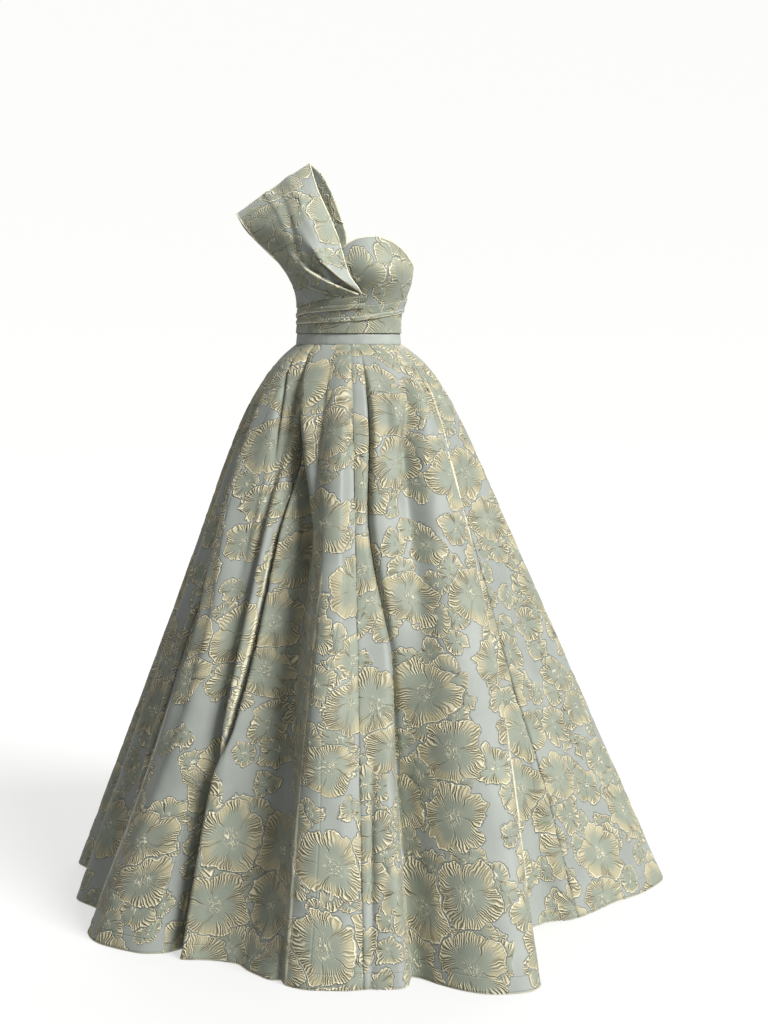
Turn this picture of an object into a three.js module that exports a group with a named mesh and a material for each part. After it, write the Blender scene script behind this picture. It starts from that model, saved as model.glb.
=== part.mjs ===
import * as THREE from "three";

// One-shoulder ball gown in brocade, in millimetres, +Z up, front towards -Y, wearer's left towards +X
// The origin is the centre of the waist seam

// Driving sizes
const SKIRT_LENGTH = 1150;
const CLOTH = 2;
const SEAM_GAP = 0.3;
const BAND_HEIGHT = 24;
const LAYER_STEP = CLOTH + 1.25;
const SEAM_RISE = BAND_HEIGHT + SEAM_GAP;

// The torso is turned a little towards the wearer's right, and both cups are alike about its own centre line
const BODICE_TURN = -9;
const CUP = { rise: 27, side: 33, height: 150, angleSpread: 23, heightSpread: 44 };

// The flare stands the skirt off just below the band, and each fold swings from its waist angle to its hem angle
const FLARE = { lift: 0.105, settle: 0.045, swing: 1.3 };

const SATIN_BLUE_GREY = 0x9daaa9;
const ANTIQUE_GOLD = 0xc9bf97;
const NICKEL = 0xb8bcc0;

// Torso sections: height above the waist seam, sideways shift, half width, depth to the front and to the back
const TORSO = [
  { height: 0, shift: 0, half: 109, front: 86, back: 80 },
  { height: 24, shift: 0.5, half: 107, front: 86, back: 80 },
  { height: 45, shift: 1.5, half: 105.5, front: 88, back: 82 },
  { height: 70, shift: 3.5, half: 107, front: 92, back: 85 },
  { height: 100, shift: 8, half: 113, front: 97, back: 90 },
  { height: 132, shift: 9.5, half: 122, front: 103, back: 95 },
  { height: 163, shift: 10, half: 125, front: 106, back: 98 },
  { height: 200, shift: 9, half: 127, front: 104, back: 99 },
  { height: 240, shift: 6, half: 128, front: 100, back: 100 },
];

// Height of the bodice's top edge, by angle from the middle of the two cups
const TOP_EDGE = [
  { angle: 0, height: 197 },
  { angle: 8, height: 210 },
  { angle: 18, height: 219 },
  { angle: 30, height: 222 },
  { angle: 44, height: 215 },
  { angle: 60, height: 198 },
  { angle: 75, height: 181 },
  { angle: 99, height: 161 },
  { angle: 135, height: 151 },
  { angle: 190, height: 150 },
];

// Skirt folds: angle at the waist, angle at the hem and the hem's reach from the axis, crest by crest
const FOLDS = [
  { waist: -62, hem: -55.8, reach: 614 },
  { waist: -59, hem: -53, reach: 622 },
  { waist: -53, hem: -47.4, reach: 627 },
  { waist: -44, hem: -40.1, reach: 614 },
  { waist: -37.5, hem: -36, reach: 583 },
  { waist: -33.5, hem: -33.5, reach: 548 },
  { waist: -31.5, hem: -32.4, reach: 570 },
  { waist: -28.5, hem: -31.2, reach: 619 },
  { waist: -26, hem: -29, reach: 628 },
  { waist: -20.5, hem: -22.5, reach: 624 },
  { waist: -14.5, hem: -14, reach: 600 },
  { waist: -11.7, hem: -10.6, reach: 587 },
  { waist: -9.5, hem: -9.2, reach: 611 },
  { waist: -4.5, hem: -4.4, reach: 638 },
  { waist: 3, hem: 3.4, reach: 645 },
  { waist: 15, hem: 12.3, reach: 657 },
  { waist: 24, hem: 16.6, reach: 690 },
  { waist: 33, hem: 22, reach: 724 },
  { waist: 41, hem: 27.4, reach: 736 },
  { waist: 45, hem: 29.7, reach: 721 },
  { waist: 47.5, hem: 31, reach: 690 },
  { waist: 50, hem: 34, reach: 620 },
  { waist: 53, hem: 40, reach: 545 },
  { waist: 57, hem: 46.5, reach: 500 },
  { waist: 61, hem: 51.5, reach: 503 },
  { waist: 67, hem: 60, reach: 541 },
  { waist: 73, hem: 68, reach: 575 },
  { waist: 81, hem: 78.8, reach: 640 },
  { waist: 88, hem: 87, reach: 680 },
  { waist: 94, hem: 93, reach: 676 },
  { waist: 100, hem: 100, reach: 630 },
  { waist: 106, hem: 106, reach: 588 },
  { waist: 111, hem: 112, reach: 590 },
  { waist: 118, hem: 120, reach: 634 },
  { waist: 127, hem: 130, reach: 678 },
  { waist: 134, hem: 137, reach: 668 },
  { waist: 139, hem: 141.5, reach: 614 },
  { waist: 143, hem: 145, reach: 588 },
  { waist: 149, hem: 151, reach: 612 },
  { waist: 158, hem: 160, reach: 672 },
  { waist: 169, hem: 170.5, reach: 702 },
  { waist: 180, hem: 181, reach: 706 },
  { waist: 190, hem: 190, reach: 694 },
  { waist: 197, hem: 196, reach: 645 },
  { waist: 201, hem: 200, reach: 600 },
  { waist: 207, hem: 206.5, reach: 612 },
  { waist: 215, hem: 215, reach: 664 },
  { waist: 224, hem: 224, reach: 684 },
  { waist: 231, hem: 230.5, reach: 654 },
  { waist: 235, hem: 234, reach: 596 },
  { waist: 240, hem: 239, reach: 580 },
  { waist: 248, hem: 248, reach: 606 },
  { waist: 257, hem: 257, reach: 617 },
  { waist: 264, hem: 264, reach: 608 },
  { waist: 269, hem: 268.5, reach: 575 },
  { waist: 274, hem: 275, reach: 560 },
  { waist: 281, hem: 286, reach: 593 },
  { waist: 286.5, hem: 293, reach: 566 },
  { waist: 291, hem: 299, reach: 548 },
  { waist: 294.5, hem: 302.4, reach: 586 },
];

// The six gores between their seams, by angle at the waist
const GORES = [
  { name: "skirt_front_right", from: -61, to: 3 },
  { name: "skirt_front_left", from: 3, to: 66 },
  { name: "skirt_side_left", from: 66, to: 123 },
  { name: "skirt_back_left", from: 123, to: 180 },
  { name: "skirt_back_right", from: 180, to: 238 },
  { name: "skirt_side_right", from: 238, to: 299 },
];
const SKIRT_LEVELS = [0, 0.03, 0.07, 0.13, 0.22, 0.35, 0.53, 0.76, 1];
// Degrees between a gore's seam and its nearest fold column
const SEAM_CLEAR = 1;

// Pleats of the wrapped midriff: lower and upper edge heights by angle. Each covers the edge of the next one down
const MIDRIFF_PLEATS = [
  {
    name: "midriff_pleat_lower",
    layer: 1,
    edges: [
      { angle: -92, low: SEAM_RISE, high: 47 },
      { angle: -45, low: SEAM_RISE, high: 50 },
      { angle: 0, low: SEAM_RISE, high: 53 },
      { angle: 45, low: SEAM_RISE, high: 64 },
      { angle: 92, low: SEAM_RISE, high: 73 },
    ],
  },
  {
    name: "midriff_pleat_middle",
    layer: 2,
    edges: [
      { angle: -92, low: 43, high: 61 },
      { angle: -45, low: 46, high: 71 },
      { angle: 0, low: 49, high: 78 },
      { angle: 45, low: 60, high: 86 },
      { angle: 92, low: 69, high: 98 },
    ],
  },
  {
    name: "midriff_pleat_upper",
    layer: 2,
    edges: [
      { angle: -92, low: 57, high: 75 },
      { angle: -45, low: 67, high: 87 },
      { angle: 0, low: 74, high: 97 },
      { angle: 15, low: 77, high: 100 },
    ],
  },
];
const PLEAT_LAP = 5;
const PLEAT_TUCK = 9;

// Shoulder drape, base of the front to base of the back: neckline edge, middle and outer edge as x, y, z
const DRAPE = [
  { run: 0, neck: [31, -120, 103], middle: [-50, -112, 92], outer: [-102, -24, 78] },
  { run: 0.12, neck: [6, -134, 138], middle: [-60, -130, 128], outer: [-108, -36, 110] },
  { run: 0.22, neck: [-4, -134, 168], middle: [-74, -133, 163], outer: [-120, -58, 140] },
  { run: 0.31, neck: [-14, -119, 203], middle: [-88, -126, 200], outer: [-147, -66, 177] },
  { run: 0.4, neck: [-33, -94, 252], middle: [-104, -108, 240], outer: [-181, -55, 208] },
  { run: 0.47, neck: [-62, -50, 320], middle: [-125, -62, 290], outer: [-216, -32, 246] },
  { run: 0.52, neck: [-79, 4, 378], middle: [-152, -2, 329], outer: [-234, -8, 272] },
  { run: 0.57, neck: [-58, 52, 362], middle: [-138, 52, 304], outer: [-222, 30, 247] },
  { run: 0.7, neck: [-26, 98, 298], middle: [-106, 100, 245], outer: [-178, 66, 202] },
  { run: 0.85, neck: [-5, 112, 220], middle: [-78, 106, 192], outer: [-140, 58, 168] },
  { run: 1, neck: [-14, 106, 146], middle: [-68, 97, 146], outer: [-117, 40, 146] },
];
// Share of their sideways place that the drape's pleats lean out by
const DRAPE_LEAN = 0.6;

// Pleats that fan out of the drape's front base: place across the base and out at their ends, width, depth and reach
const DRAPE_PLEATS = [
  { start: 0.1, end: 0.4, width: 0.07, depth: 10, reach: 0.3 },
  { start: 0.24, end: 0.62, width: 0.08, depth: 8, reach: 0.26 },
  { start: 0.4, end: 0.84, width: 0.09, depth: 6, reach: 0.2 },
];

// Centre back zip: its slider with a bridge, and the pull tab whose top bar hangs in the bridge's eye
const SLIDER = { height: 138, width: 5, length: 12, base: 2, bridge: 5.8, eyeOut: 3.5, eye: 1.2 };
const PULL = { width: 8.4, length: 24, thickness: 1.2, bar: 1.2, windowWidth: 5.8, windowEnd: 5.6, shoulder: 8, tip: 2.6 };

const DEGREE = Math.PI / 180;
const HALF_GAP = SEAM_GAP / 2;

// Slope at each row of a table, flat at crests and troughs so that no fold overshoots
function rowSlopes(xs, ys) {
  const steps = xs.slice(1).map((x, i) => (ys[i + 1] - ys[i]) / (x - xs[i]));
  return xs.map((x, i) => {
    if (i === 0) return steps[0];
    if (i === xs.length - 1) return steps[i - 1];
    const before = steps[i - 1];
    const after = steps[i];
    if (before * after <= 0) return 0;
    return (2 * before * after) / (before + after);
  });
}

// A smooth curve through one column of a table
function column(table, key, value) {
  const xs = table.map((row) => row[key]);
  const ys = table.map((row) => row[value]);
  const slopes = rowSlopes(xs, ys);
  return (x) => {
    const last = xs.length - 2;
    let i = xs.findIndex((edge) => edge > x) - 1;
    if (i === -2) i = last;
    i = Math.max(0, Math.min(last, i));
    const width = xs[i + 1] - xs[i];
    const s = THREE.MathUtils.clamp((x - xs[i]) / width, 0, 1);
    const rise = ys[i] * (1 + 2 * s) * (1 - s) ** 2 + ys[i + 1] * s * s * (3 - 2 * s);
    return rise + width * (slopes[i] * s * (1 - s) ** 2 - slopes[i + 1] * s * s * (1 - s));
  };
}

const torsoShift = column(TORSO, "height", "shift");
const torsoHalf = column(TORSO, "height", "half");
const torsoFront = column(TORSO, "height", "front");
const torsoBack = column(TORSO, "height", "back");
const topEdge = column(TOP_EDGE, "angle", "height");

// A point of the torso's cloth at an angle and a height, moved out by a distance
function torsoPoint(angle, height, out = 0) {
  const sine = Math.sin(angle * DEGREE);
  const cosine = Math.cos(angle * DEGREE);
  const turned = angle - BODICE_TURN;
  const inCup = (side) =>
    Math.exp(-(((turned - side) / CUP.angleSpread) ** 2) - ((height - CUP.height) / CUP.heightSpread) ** 2);
  const cups = CUP.rise * (inCup(CUP.side) + inCup(-CUP.side));
  const depth = cosine > 0 ? torsoFront(height) : torsoBack(height);
  const x = torsoShift(height) + (torsoHalf(height) + cups + out) * sine;
  const y = -(depth + cups + out) * cosine;
  return new THREE.Vector3(x, y, height);
}

// The fold table closed into a ring
const ring = [-360, 0, 360].flatMap((turn) =>
  FOLDS.map((row) => ({ waist: row.waist + turn, hem: row.hem + turn, reach: row.reach }))
);
const hemAngle = column(ring, "waist", "hem");
const hemReach = column(ring, "waist", "reach");

function flare(fall) {
  return fall + FLARE.lift * (1 - fall) * (1 - Math.exp(-fall / FLARE.settle));
}

// A point of the skirt's cloth, by its angle at the waist and its fall from waist 0 to hem 1
function skirtPoint(angle, fall) {
  const waist = torsoPoint(angle, 0);
  const bearing = Math.atan2(waist.x, -waist.y) / DEGREE;
  const unwound = bearing + 360 * Math.round((angle - bearing) / 360);
  const start = Math.hypot(waist.x, waist.y);
  const hem = hemAngle(angle);
  const swing = (hem + (unwound - hem) * (1 - fall) ** FLARE.swing) * DEGREE;
  const reach = start + (hemReach(angle) - start) * flare(fall);
  return new THREE.Vector3(reach * Math.sin(swing), -reach * Math.cos(swing), -SKIRT_LENGTH * fall);
}

// Keeps a point of an outer layer off the torso by the given number of layers
function clearOfTorso(point, out) {
  const dx = point.x - torsoShift(point.z);
  const depth = point.y < 0 ? torsoFront(point.z) : torsoBack(point.z);
  const angle = Math.atan2(dx / torsoHalf(point.z), -point.y / depth) / DEGREE;
  const limit = torsoPoint(angle, point.z, out);
  const wanted = Math.hypot(limit.x - torsoShift(point.z), limit.y);
  const actual = Math.hypot(dx, point.y);
  if (actual >= wanted || point.z > topEdge(Math.abs(angle - BODICE_TURN)) + CLOTH) return point;
  const scale = wanted / actual;
  return new THREE.Vector3(torsoShift(point.z) + dx * scale, point.y * scale, point.z);
}

const drapeTracks = ["neck", "middle", "outer"].map((track) =>
  [0, 1, 2].map((axis) =>
    column(DRAPE.map((row) => ({ run: row.run, value: row[track][axis] })), "run", "value")
  )
);

// A point of the shoulder drape, across from neckline 0 to outer edge 1, along from front base 0 to back base 1
function drapePoint(across, run) {
  const [neck, middle, outer] = drapeTracks.map((axes) => new THREE.Vector3(...axes.map((axis) => axis(run))));
  const neckShare = (1 - across) * (1 - 2 * across);
  const outerShare = across * (2 * across - 1);
  const point = neck.multiplyScalar(neckShare);
  point.addScaledVector(middle, 1 - neckShare - outerShare).addScaledVector(outer, outerShare);
  const lean = new THREE.Vector3(point.x * DRAPE_LEAN, point.y, 0).normalize();
  for (const pleat of DRAPE_PLEATS) {
    const along = run / pleat.reach;
    if (along < 1) {
      const crest = pleat.start + (pleat.end - pleat.start) * along;
      const offset = (across - crest) / pleat.width;
      point.addScaledVector(lean, pleat.depth * Math.exp(-offset * offset) * (1 - along) ** 2);
    }
  }
  return clearOfTorso(point, 2 * LAYER_STEP);
}

// A closed cloth wall about a surface. Its end columns stop half a seam gap short, and level rows end flat
function clothWall(surface, columns, rows, { outward = 1, levelStart = false, levelEnd = false } = {}) {
  const du = (columns.at(-1) - columns[0]) * 1e-4;
  const dv = (rows.at(-1) - rows[0]) * 1e-4;
  const outer = [];
  const inner = [];
  columns.forEach((u, i) => {
    rows.forEach((v, j) => {
      const low = rows[0];
      const high = rows.at(-1);
      const side = surface(u + du, v).sub(surface(u - du, v)).normalize();
      const rise = surface(u, Math.min(high, v + dv)).sub(surface(u, Math.max(low, v - dv)));
      const normal = side.clone().cross(rise).multiplyScalar(outward);
      const level = (j === 0 && levelStart) || (j === rows.length - 1 && levelEnd);
      if (level) normal.z = 0;
      normal.normalize();
      const point = surface(u, v);
      const inset = HALF_GAP / side.clone().cross(rise.normalize()).length();
      if (i === 0) point.addScaledVector(side, inset);
      if (i === columns.length - 1) point.addScaledVector(side, -inset);
      outer.push(point.clone().addScaledVector(normal, CLOTH / 2));
      inner.push(point.clone().addScaledVector(normal, -CLOTH / 2));
    });
  });
  return sheetGeometry(outer, inner, columns.length, rows.length, outward);
}

// Joins an outer and an inner grid of points into one closed geometry
function sheetGeometry(outer, inner, columnCount, rowCount, outward) {
  const corners = [...outer, ...inner];
  const shift = outer.length;
  const at = (i, j) => i * rowCount + j;
  const index = [];
  const quad = (a, b, c, d) => {
    if (outward > 0) index.push(a, b, c, a, c, d);
    else index.push(a, c, b, a, d, c);
  };
  for (let i = 0; i < columnCount - 1; i++) {
    for (let j = 0; j < rowCount - 1; j++) {
      quad(at(i, j), at(i + 1, j), at(i + 1, j + 1), at(i, j + 1));
      quad(shift + at(i, j), shift + at(i, j + 1), shift + at(i + 1, j + 1), shift + at(i + 1, j));
    }
  }
  // The rims: both ends are cut along the same diagonals, so that neighbours' ends lie parallel
  for (let i = 0; i < columnCount - 1; i++) {
    const near = at(i, 0);
    const far = at(i, rowCount - 1);
    quad(near, shift + near, shift + near + rowCount, near + rowCount);
    quad(far, far + rowCount, shift + far + rowCount, shift + far);
  }
  for (let j = 0; j < rowCount - 1; j++) {
    const start = at(0, j);
    const end = at(columnCount - 1, j);
    quad(start, start + 1, shift + start + 1, shift + start);
    quad(end, shift + end, shift + end + 1, end + 1);
  }
  const geometry = new THREE.BufferGeometry();
  geometry.setAttribute("position", new THREE.Float32BufferAttribute(corners.flatMap((p) => p.toArray()), 3));
  geometry.setIndex(index);
  geometry.computeVertexNormals();
  return geometry;
}

// Evenly spaced values from one number to another
function spread(from, to, count) {
  return Array.from({ length: count + 1 }, (_, i) => from + ((to - from) * i) / count);
}

// A gore's columns: its two seams, each fold row between them and the middles between those
function goreColumns(from, to) {
  const first = from + SEAM_CLEAR;
  const last = to - SEAM_CLEAR;
  const inside = ring.map((row) => row.waist).filter((waist) => waist > first && waist < last);
  const marks = [from, ...inside, to];
  return marks.flatMap((mark, i) => (i === 0 ? [mark] : [(marks[i - 1] + mark) / 2, mark]));
}

const brocade = new THREE.MeshStandardMaterial({ color: SATIN_BLUE_GREY, roughness: 0.45, metalness: 0 });
const brocadeTrim = new THREE.MeshStandardMaterial({ color: ANTIQUE_GOLD, roughness: 0.45, metalness: 0 });
const nickel = new THREE.MeshStandardMaterial({ color: NICKEL, roughness: 0.3, metalness: 1 });

const dress = new THREE.Group();

function addPiece(name, geometry, material) {
  const piece = new THREE.Mesh(geometry, material);
  piece.name = name;
  dress.add(piece);
  return piece;
}

// Skirt
for (const gore of GORES) {
  const levels = { outward: -1, levelStart: true, levelEnd: true };
  const geometry = clothWall(skirtPoint, goreColumns(gore.from, gore.to), SKIRT_LEVELS, levels);
  addPiece(gore.name, geometry, brocade);
}

// Waistband
const BAND_PARTS = [
  { name: "waistband_front", from: -92, to: 92, count: 26 },
  { name: "waistband_back_left", from: 92, to: 180, count: 12 },
  { name: "waistband_back_right", from: 180, to: 268, count: 12 },
];
for (const band of BAND_PARTS) {
  const surface = (angle, height) => torsoPoint(angle, height);
  const rows = [SEAM_GAP, BAND_HEIGHT];
  const levels = { levelStart: true, levelEnd: true };
  addPiece(band.name, clothWall(surface, spread(band.from, band.to, band.count), rows, levels), brocadeTrim);
}

// Bodice
const BODICE_PARTS = [
  { name: "bodice_front_right", columns: spread(-92, BODICE_TURN, 12) },
  { name: "bodice_front_left", columns: spread(BODICE_TURN, 92, 14) },
  { name: "bodice_back_left", columns: spread(92, 180, 10) },
  { name: "bodice_back_right", columns: spread(-180, -92, 10) },
];
const BODICE_ROWS = [0, 0.12, 0.23, 0.33, 0.42, 0.5, 0.58, 0.67, 0.78, 0.89, 1];
function bodicePoint(angle, rise) {
  const top = topEdge(Math.abs(angle - BODICE_TURN));
  return torsoPoint(angle, SEAM_RISE + (top - SEAM_RISE) * rise);
}
for (const part of BODICE_PARTS) {
  const levels = { levelStart: true, levelEnd: true };
  addPiece(part.name, clothWall(bodicePoint, part.columns, BODICE_ROWS, levels), brocade);
}

// Wrapped midriff, on the columns of the bodice fronts that it lies on
const frontColumns = [...BODICE_PARTS[0].columns, ...BODICE_PARTS[1].columns.slice(1)];
for (const pleat of MIDRIFF_PLEATS) {
  const low = column(pleat.edges, "angle", "low");
  const high = column(pleat.edges, "angle", "high");
  const surface = (angle, step) => {
    const width = high(angle) - low(angle);
    const rise = [0, PLEAT_LAP, PLEAT_TUCK, (PLEAT_TUCK + width) / 2, width];
    const whole = Math.min(rise.length - 2, Math.floor(step));
    const height = low(angle) + THREE.MathUtils.lerp(rise[whole], rise[whole + 1], step - whole);
    const tuck = THREE.MathUtils.clamp(step - 1, 0, 1);
    return torsoPoint(angle, height, LAYER_STEP * (pleat.layer - (pleat.layer - 1) * tuck));
  };
  const columns = frontColumns.filter((angle) => angle <= pleat.edges.at(-1).angle);
  addPiece(pleat.name, clothWall(surface, columns, [0, 1, 2, 3, 4], { levelStart: true }), brocade);
}

// Shoulder drape
const drapeColumns = spread(0, 1, 14);
const drapeRuns = [0, 0.05, 0.1, 0.16, 0.23, 0.31, 0.39, 0.45, 0.49, 0.52, 0.55, 0.6, 0.7, 0.8, 0.9, 1];
addPiece("shoulder_drape", clothWall(drapePoint, drapeColumns, drapeRuns, { outward: -1 }), brocade);

// Zip slider: its profile runs out from the cloth in X and up in Y, and is then turned to face backwards
function extruded(shape, depth) {
  const geometry = new THREE.ExtrudeGeometry(shape, { depth, bevelEnabled: false, curveSegments: 8 });
  return geometry.translate(0, 0, -depth / 2);
}
const halfLength = SLIDER.length / 2;
const sliderSeat = torsoPoint(180, SLIDER.height + halfLength).y + CLOTH / 2 + SEAM_GAP;
const sliderProfile = new THREE.Shape();
sliderProfile.moveTo(0, -halfLength);
sliderProfile.lineTo(SLIDER.base, -halfLength + 1);
sliderProfile.quadraticCurveTo(SLIDER.bridge, -halfLength / 2, SLIDER.bridge, 0);
sliderProfile.quadraticCurveTo(SLIDER.bridge, halfLength / 2, SLIDER.base, halfLength - 1);
sliderProfile.lineTo(0, halfLength);
const eye = new THREE.Path();
eye.absarc(SLIDER.eyeOut, 0, SLIDER.eye, 0, 2 * Math.PI, true);
sliderProfile.holes.push(eye);
const slider = addPiece("zip_slider", extruded(sliderProfile, SLIDER.width), nickel);
slider.rotation.set(Math.PI / 2, Math.PI / 2, 0);
slider.position.set(torsoShift(SLIDER.height), sliderSeat, SLIDER.height);

// Pull tab: a teardrop with a window, drawn downwards from the bar's axis
const pullOutline = new THREE.Shape();
const halfPull = PULL.width / 2;
const pullTop = PULL.bar / 2;
pullOutline.moveTo(-halfPull, pullTop);
pullOutline.lineTo(-halfPull, -PULL.shoulder);
pullOutline.absarc(0, PULL.tip - PULL.length, PULL.tip, Math.PI, 2 * Math.PI, false);
pullOutline.lineTo(halfPull, -PULL.shoulder);
pullOutline.lineTo(halfPull, pullTop);
const pullWindow = new THREE.Path();
pullWindow.moveTo(-PULL.windowWidth / 2, -pullTop);
pullWindow.lineTo(PULL.windowWidth / 2, -pullTop);
pullWindow.lineTo(PULL.windowWidth / 2, -PULL.windowEnd);
pullWindow.lineTo(-PULL.windowWidth / 2, -PULL.windowEnd);
pullOutline.holes.push(pullWindow);
const pull = addPiece("zip_pull", extruded(pullOutline, PULL.thickness), nickel);
pull.rotation.x = Math.PI / 2;
pull.position.set(slider.position.x, sliderSeat + SLIDER.eyeOut, SLIDER.height);

export default dress;
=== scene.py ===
import math
from collections import namedtuple
from functools import partial

import bmesh
import bpy
import numpy as np
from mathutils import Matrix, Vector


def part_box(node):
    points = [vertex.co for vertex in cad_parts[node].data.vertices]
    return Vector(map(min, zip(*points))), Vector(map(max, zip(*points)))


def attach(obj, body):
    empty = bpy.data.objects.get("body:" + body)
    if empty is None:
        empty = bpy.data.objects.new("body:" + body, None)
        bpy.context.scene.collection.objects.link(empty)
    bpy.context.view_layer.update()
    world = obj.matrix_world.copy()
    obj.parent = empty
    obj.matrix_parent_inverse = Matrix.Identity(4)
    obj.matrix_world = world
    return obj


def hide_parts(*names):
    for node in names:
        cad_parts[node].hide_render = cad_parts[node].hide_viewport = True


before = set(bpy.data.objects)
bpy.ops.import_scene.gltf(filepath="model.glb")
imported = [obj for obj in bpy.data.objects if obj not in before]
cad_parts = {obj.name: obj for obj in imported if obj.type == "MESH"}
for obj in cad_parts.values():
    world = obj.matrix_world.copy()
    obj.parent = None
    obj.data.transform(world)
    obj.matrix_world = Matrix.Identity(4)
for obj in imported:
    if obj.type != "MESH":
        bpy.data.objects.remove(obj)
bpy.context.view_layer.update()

bl_info = {
    "name": "Brocade Ball Gown",
    "version": (1, 0, 0),
    "blender": (4, 5, 0),
    "location": "View3D > Sidebar > Gown",
    "description": "One-shoulder ball gown in cloque brocade, cut as real panels",
    "category": "Object",
}

# Everything is in metres, +Z up, front towards -Y, and the origin is the centre of the waist seam
MM = 0.001
DEGREE = math.pi / 180

CLOTH = 2 * MM
SEAM_GAP = 0.3 * MM
BAND_TOP = 24 * MM
LAYER_STEP = CLOTH + 1.25 * MM
SEAM_RISE = BAND_TOP + SEAM_GAP
SKIRT_LENGTH = -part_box("skirt_front_left")[0][2]

# The torso is turned a little, and both cups are alike about its own centre line
BODICE_TURN = -9
Cup = namedtuple("Cup", "rise side height angle_spread height_spread")
CUP = Cup(27 * MM, 33, 150 * MM, 23, 44 * MM)

# The flare stands the skirt off below the band, and each fold swings from its waist angle to its hem angle
Flare = namedtuple("Flare", "lift settle swing")
FLARE = Flare(0.105, 0.045, 1.3)

Torso = namedtuple("Torso", "height shift half front back")
TORSO = [
    Torso(0, 0, 0.109, 0.086, 0.080),
    Torso(0.024, 0.0005, 0.107, 0.086, 0.080),
    Torso(0.045, 0.0015, 0.1055, 0.088, 0.082),
    Torso(0.070, 0.0035, 0.107, 0.092, 0.085),
    Torso(0.100, 0.008, 0.113, 0.097, 0.090),
    Torso(0.132, 0.0095, 0.122, 0.103, 0.095),
    Torso(0.163, 0.010, 0.125, 0.106, 0.098),
    Torso(0.200, 0.009, 0.127, 0.104, 0.099),
    Torso(0.240, 0.006, 0.128, 0.100, 0.100),
]

# Height of the bodice's top edge, by angle from the middle of the two cups
TopEdge = namedtuple("TopEdge", "angle height")
TOP_EDGE = [
    TopEdge(0, 0.197),
    TopEdge(8, 0.210),
    TopEdge(18, 0.219),
    TopEdge(30, 0.222),
    TopEdge(44, 0.215),
    TopEdge(60, 0.198),
    TopEdge(75, 0.181),
    TopEdge(99, 0.161),
    TopEdge(135, 0.151),
    TopEdge(190, 0.150),
]

# Skirt folds: angle at the waist, angle at the hem, and the hem's reach from the axis
Fold = namedtuple("Fold", "waist hem reach")
FOLDS = [
    Fold(-62, -55.8, 0.614),
    Fold(-59, -53, 0.622),
    Fold(-53, -47.4, 0.627),
    Fold(-44, -40.1, 0.614),
    Fold(-37.5, -36, 0.583),
    Fold(-33.5, -33.5, 0.548),
    Fold(-31.5, -32.4, 0.570),
    Fold(-28.5, -31.2, 0.619),
    Fold(-26, -29, 0.628),
    Fold(-20.5, -22.5, 0.624),
    Fold(-14.5, -14, 0.600),
    Fold(-11.7, -10.6, 0.587),
    Fold(-9.5, -9.2, 0.611),
    Fold(-4.5, -4.4, 0.638),
    Fold(3, 3.4, 0.645),
    Fold(15, 12.3, 0.657),
    Fold(24, 16.6, 0.690),
    Fold(33, 22, 0.724),
    Fold(41, 27.4, 0.736),
    Fold(45, 29.7, 0.721),
    Fold(47.5, 31, 0.690),
    Fold(50, 34, 0.620),
    Fold(53, 40, 0.545),
    Fold(57, 46.5, 0.500),
    Fold(61, 51.5, 0.503),
    Fold(67, 60, 0.541),
    Fold(73, 68, 0.575),
    Fold(81, 78.8, 0.640),
    Fold(88, 87, 0.680),
    Fold(94, 93, 0.676),
    Fold(100, 100, 0.630),
    Fold(106, 106, 0.588),
    Fold(111, 112, 0.590),
    Fold(118, 120, 0.634),
    Fold(127, 130, 0.678),
    Fold(134, 137, 0.668),
    Fold(139, 141.5, 0.614),
    Fold(143, 145, 0.588),
    Fold(149, 151, 0.612),
    Fold(158, 160, 0.672),
    Fold(169, 170.5, 0.702),
    Fold(180, 181, 0.706),
    Fold(190, 190, 0.694),
    Fold(197, 196, 0.645),
    Fold(201, 200, 0.600),
    Fold(207, 206.5, 0.612),
    Fold(215, 215, 0.664),
    Fold(224, 224, 0.684),
    Fold(231, 230.5, 0.654),
    Fold(235, 234, 0.596),
    Fold(240, 239, 0.580),
    Fold(248, 248, 0.606),
    Fold(257, 257, 0.617),
    Fold(264, 264, 0.608),
    Fold(269, 268.5, 0.575),
    Fold(274, 275, 0.560),
    Fold(281, 286, 0.593),
    Fold(286.5, 293, 0.566),
    Fold(291, 299, 0.548),
    Fold(294.5, 302.4, 0.586),
]

# The six gores between their seams, by waist angle, and where each is cut from the cloth
Gore = namedtuple("Gore", "name start end cut_at")
GORES = [
    Gore("skirt_front_right", -61, 3, (0.31, 0.12)),
    Gore("skirt_front_left", 3, 66, (1.93, 0.47)),
    Gore("skirt_side_left", 66, 123, (3.38, 0.09)),
    Gore("skirt_back_left", 123, 180, (4.71, 0.66)),
    Gore("skirt_back_right", 180, 238, (6.12, 0.27)),
    Gore("skirt_side_right", 238, 299, (7.57, 0.58)),
]

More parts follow.
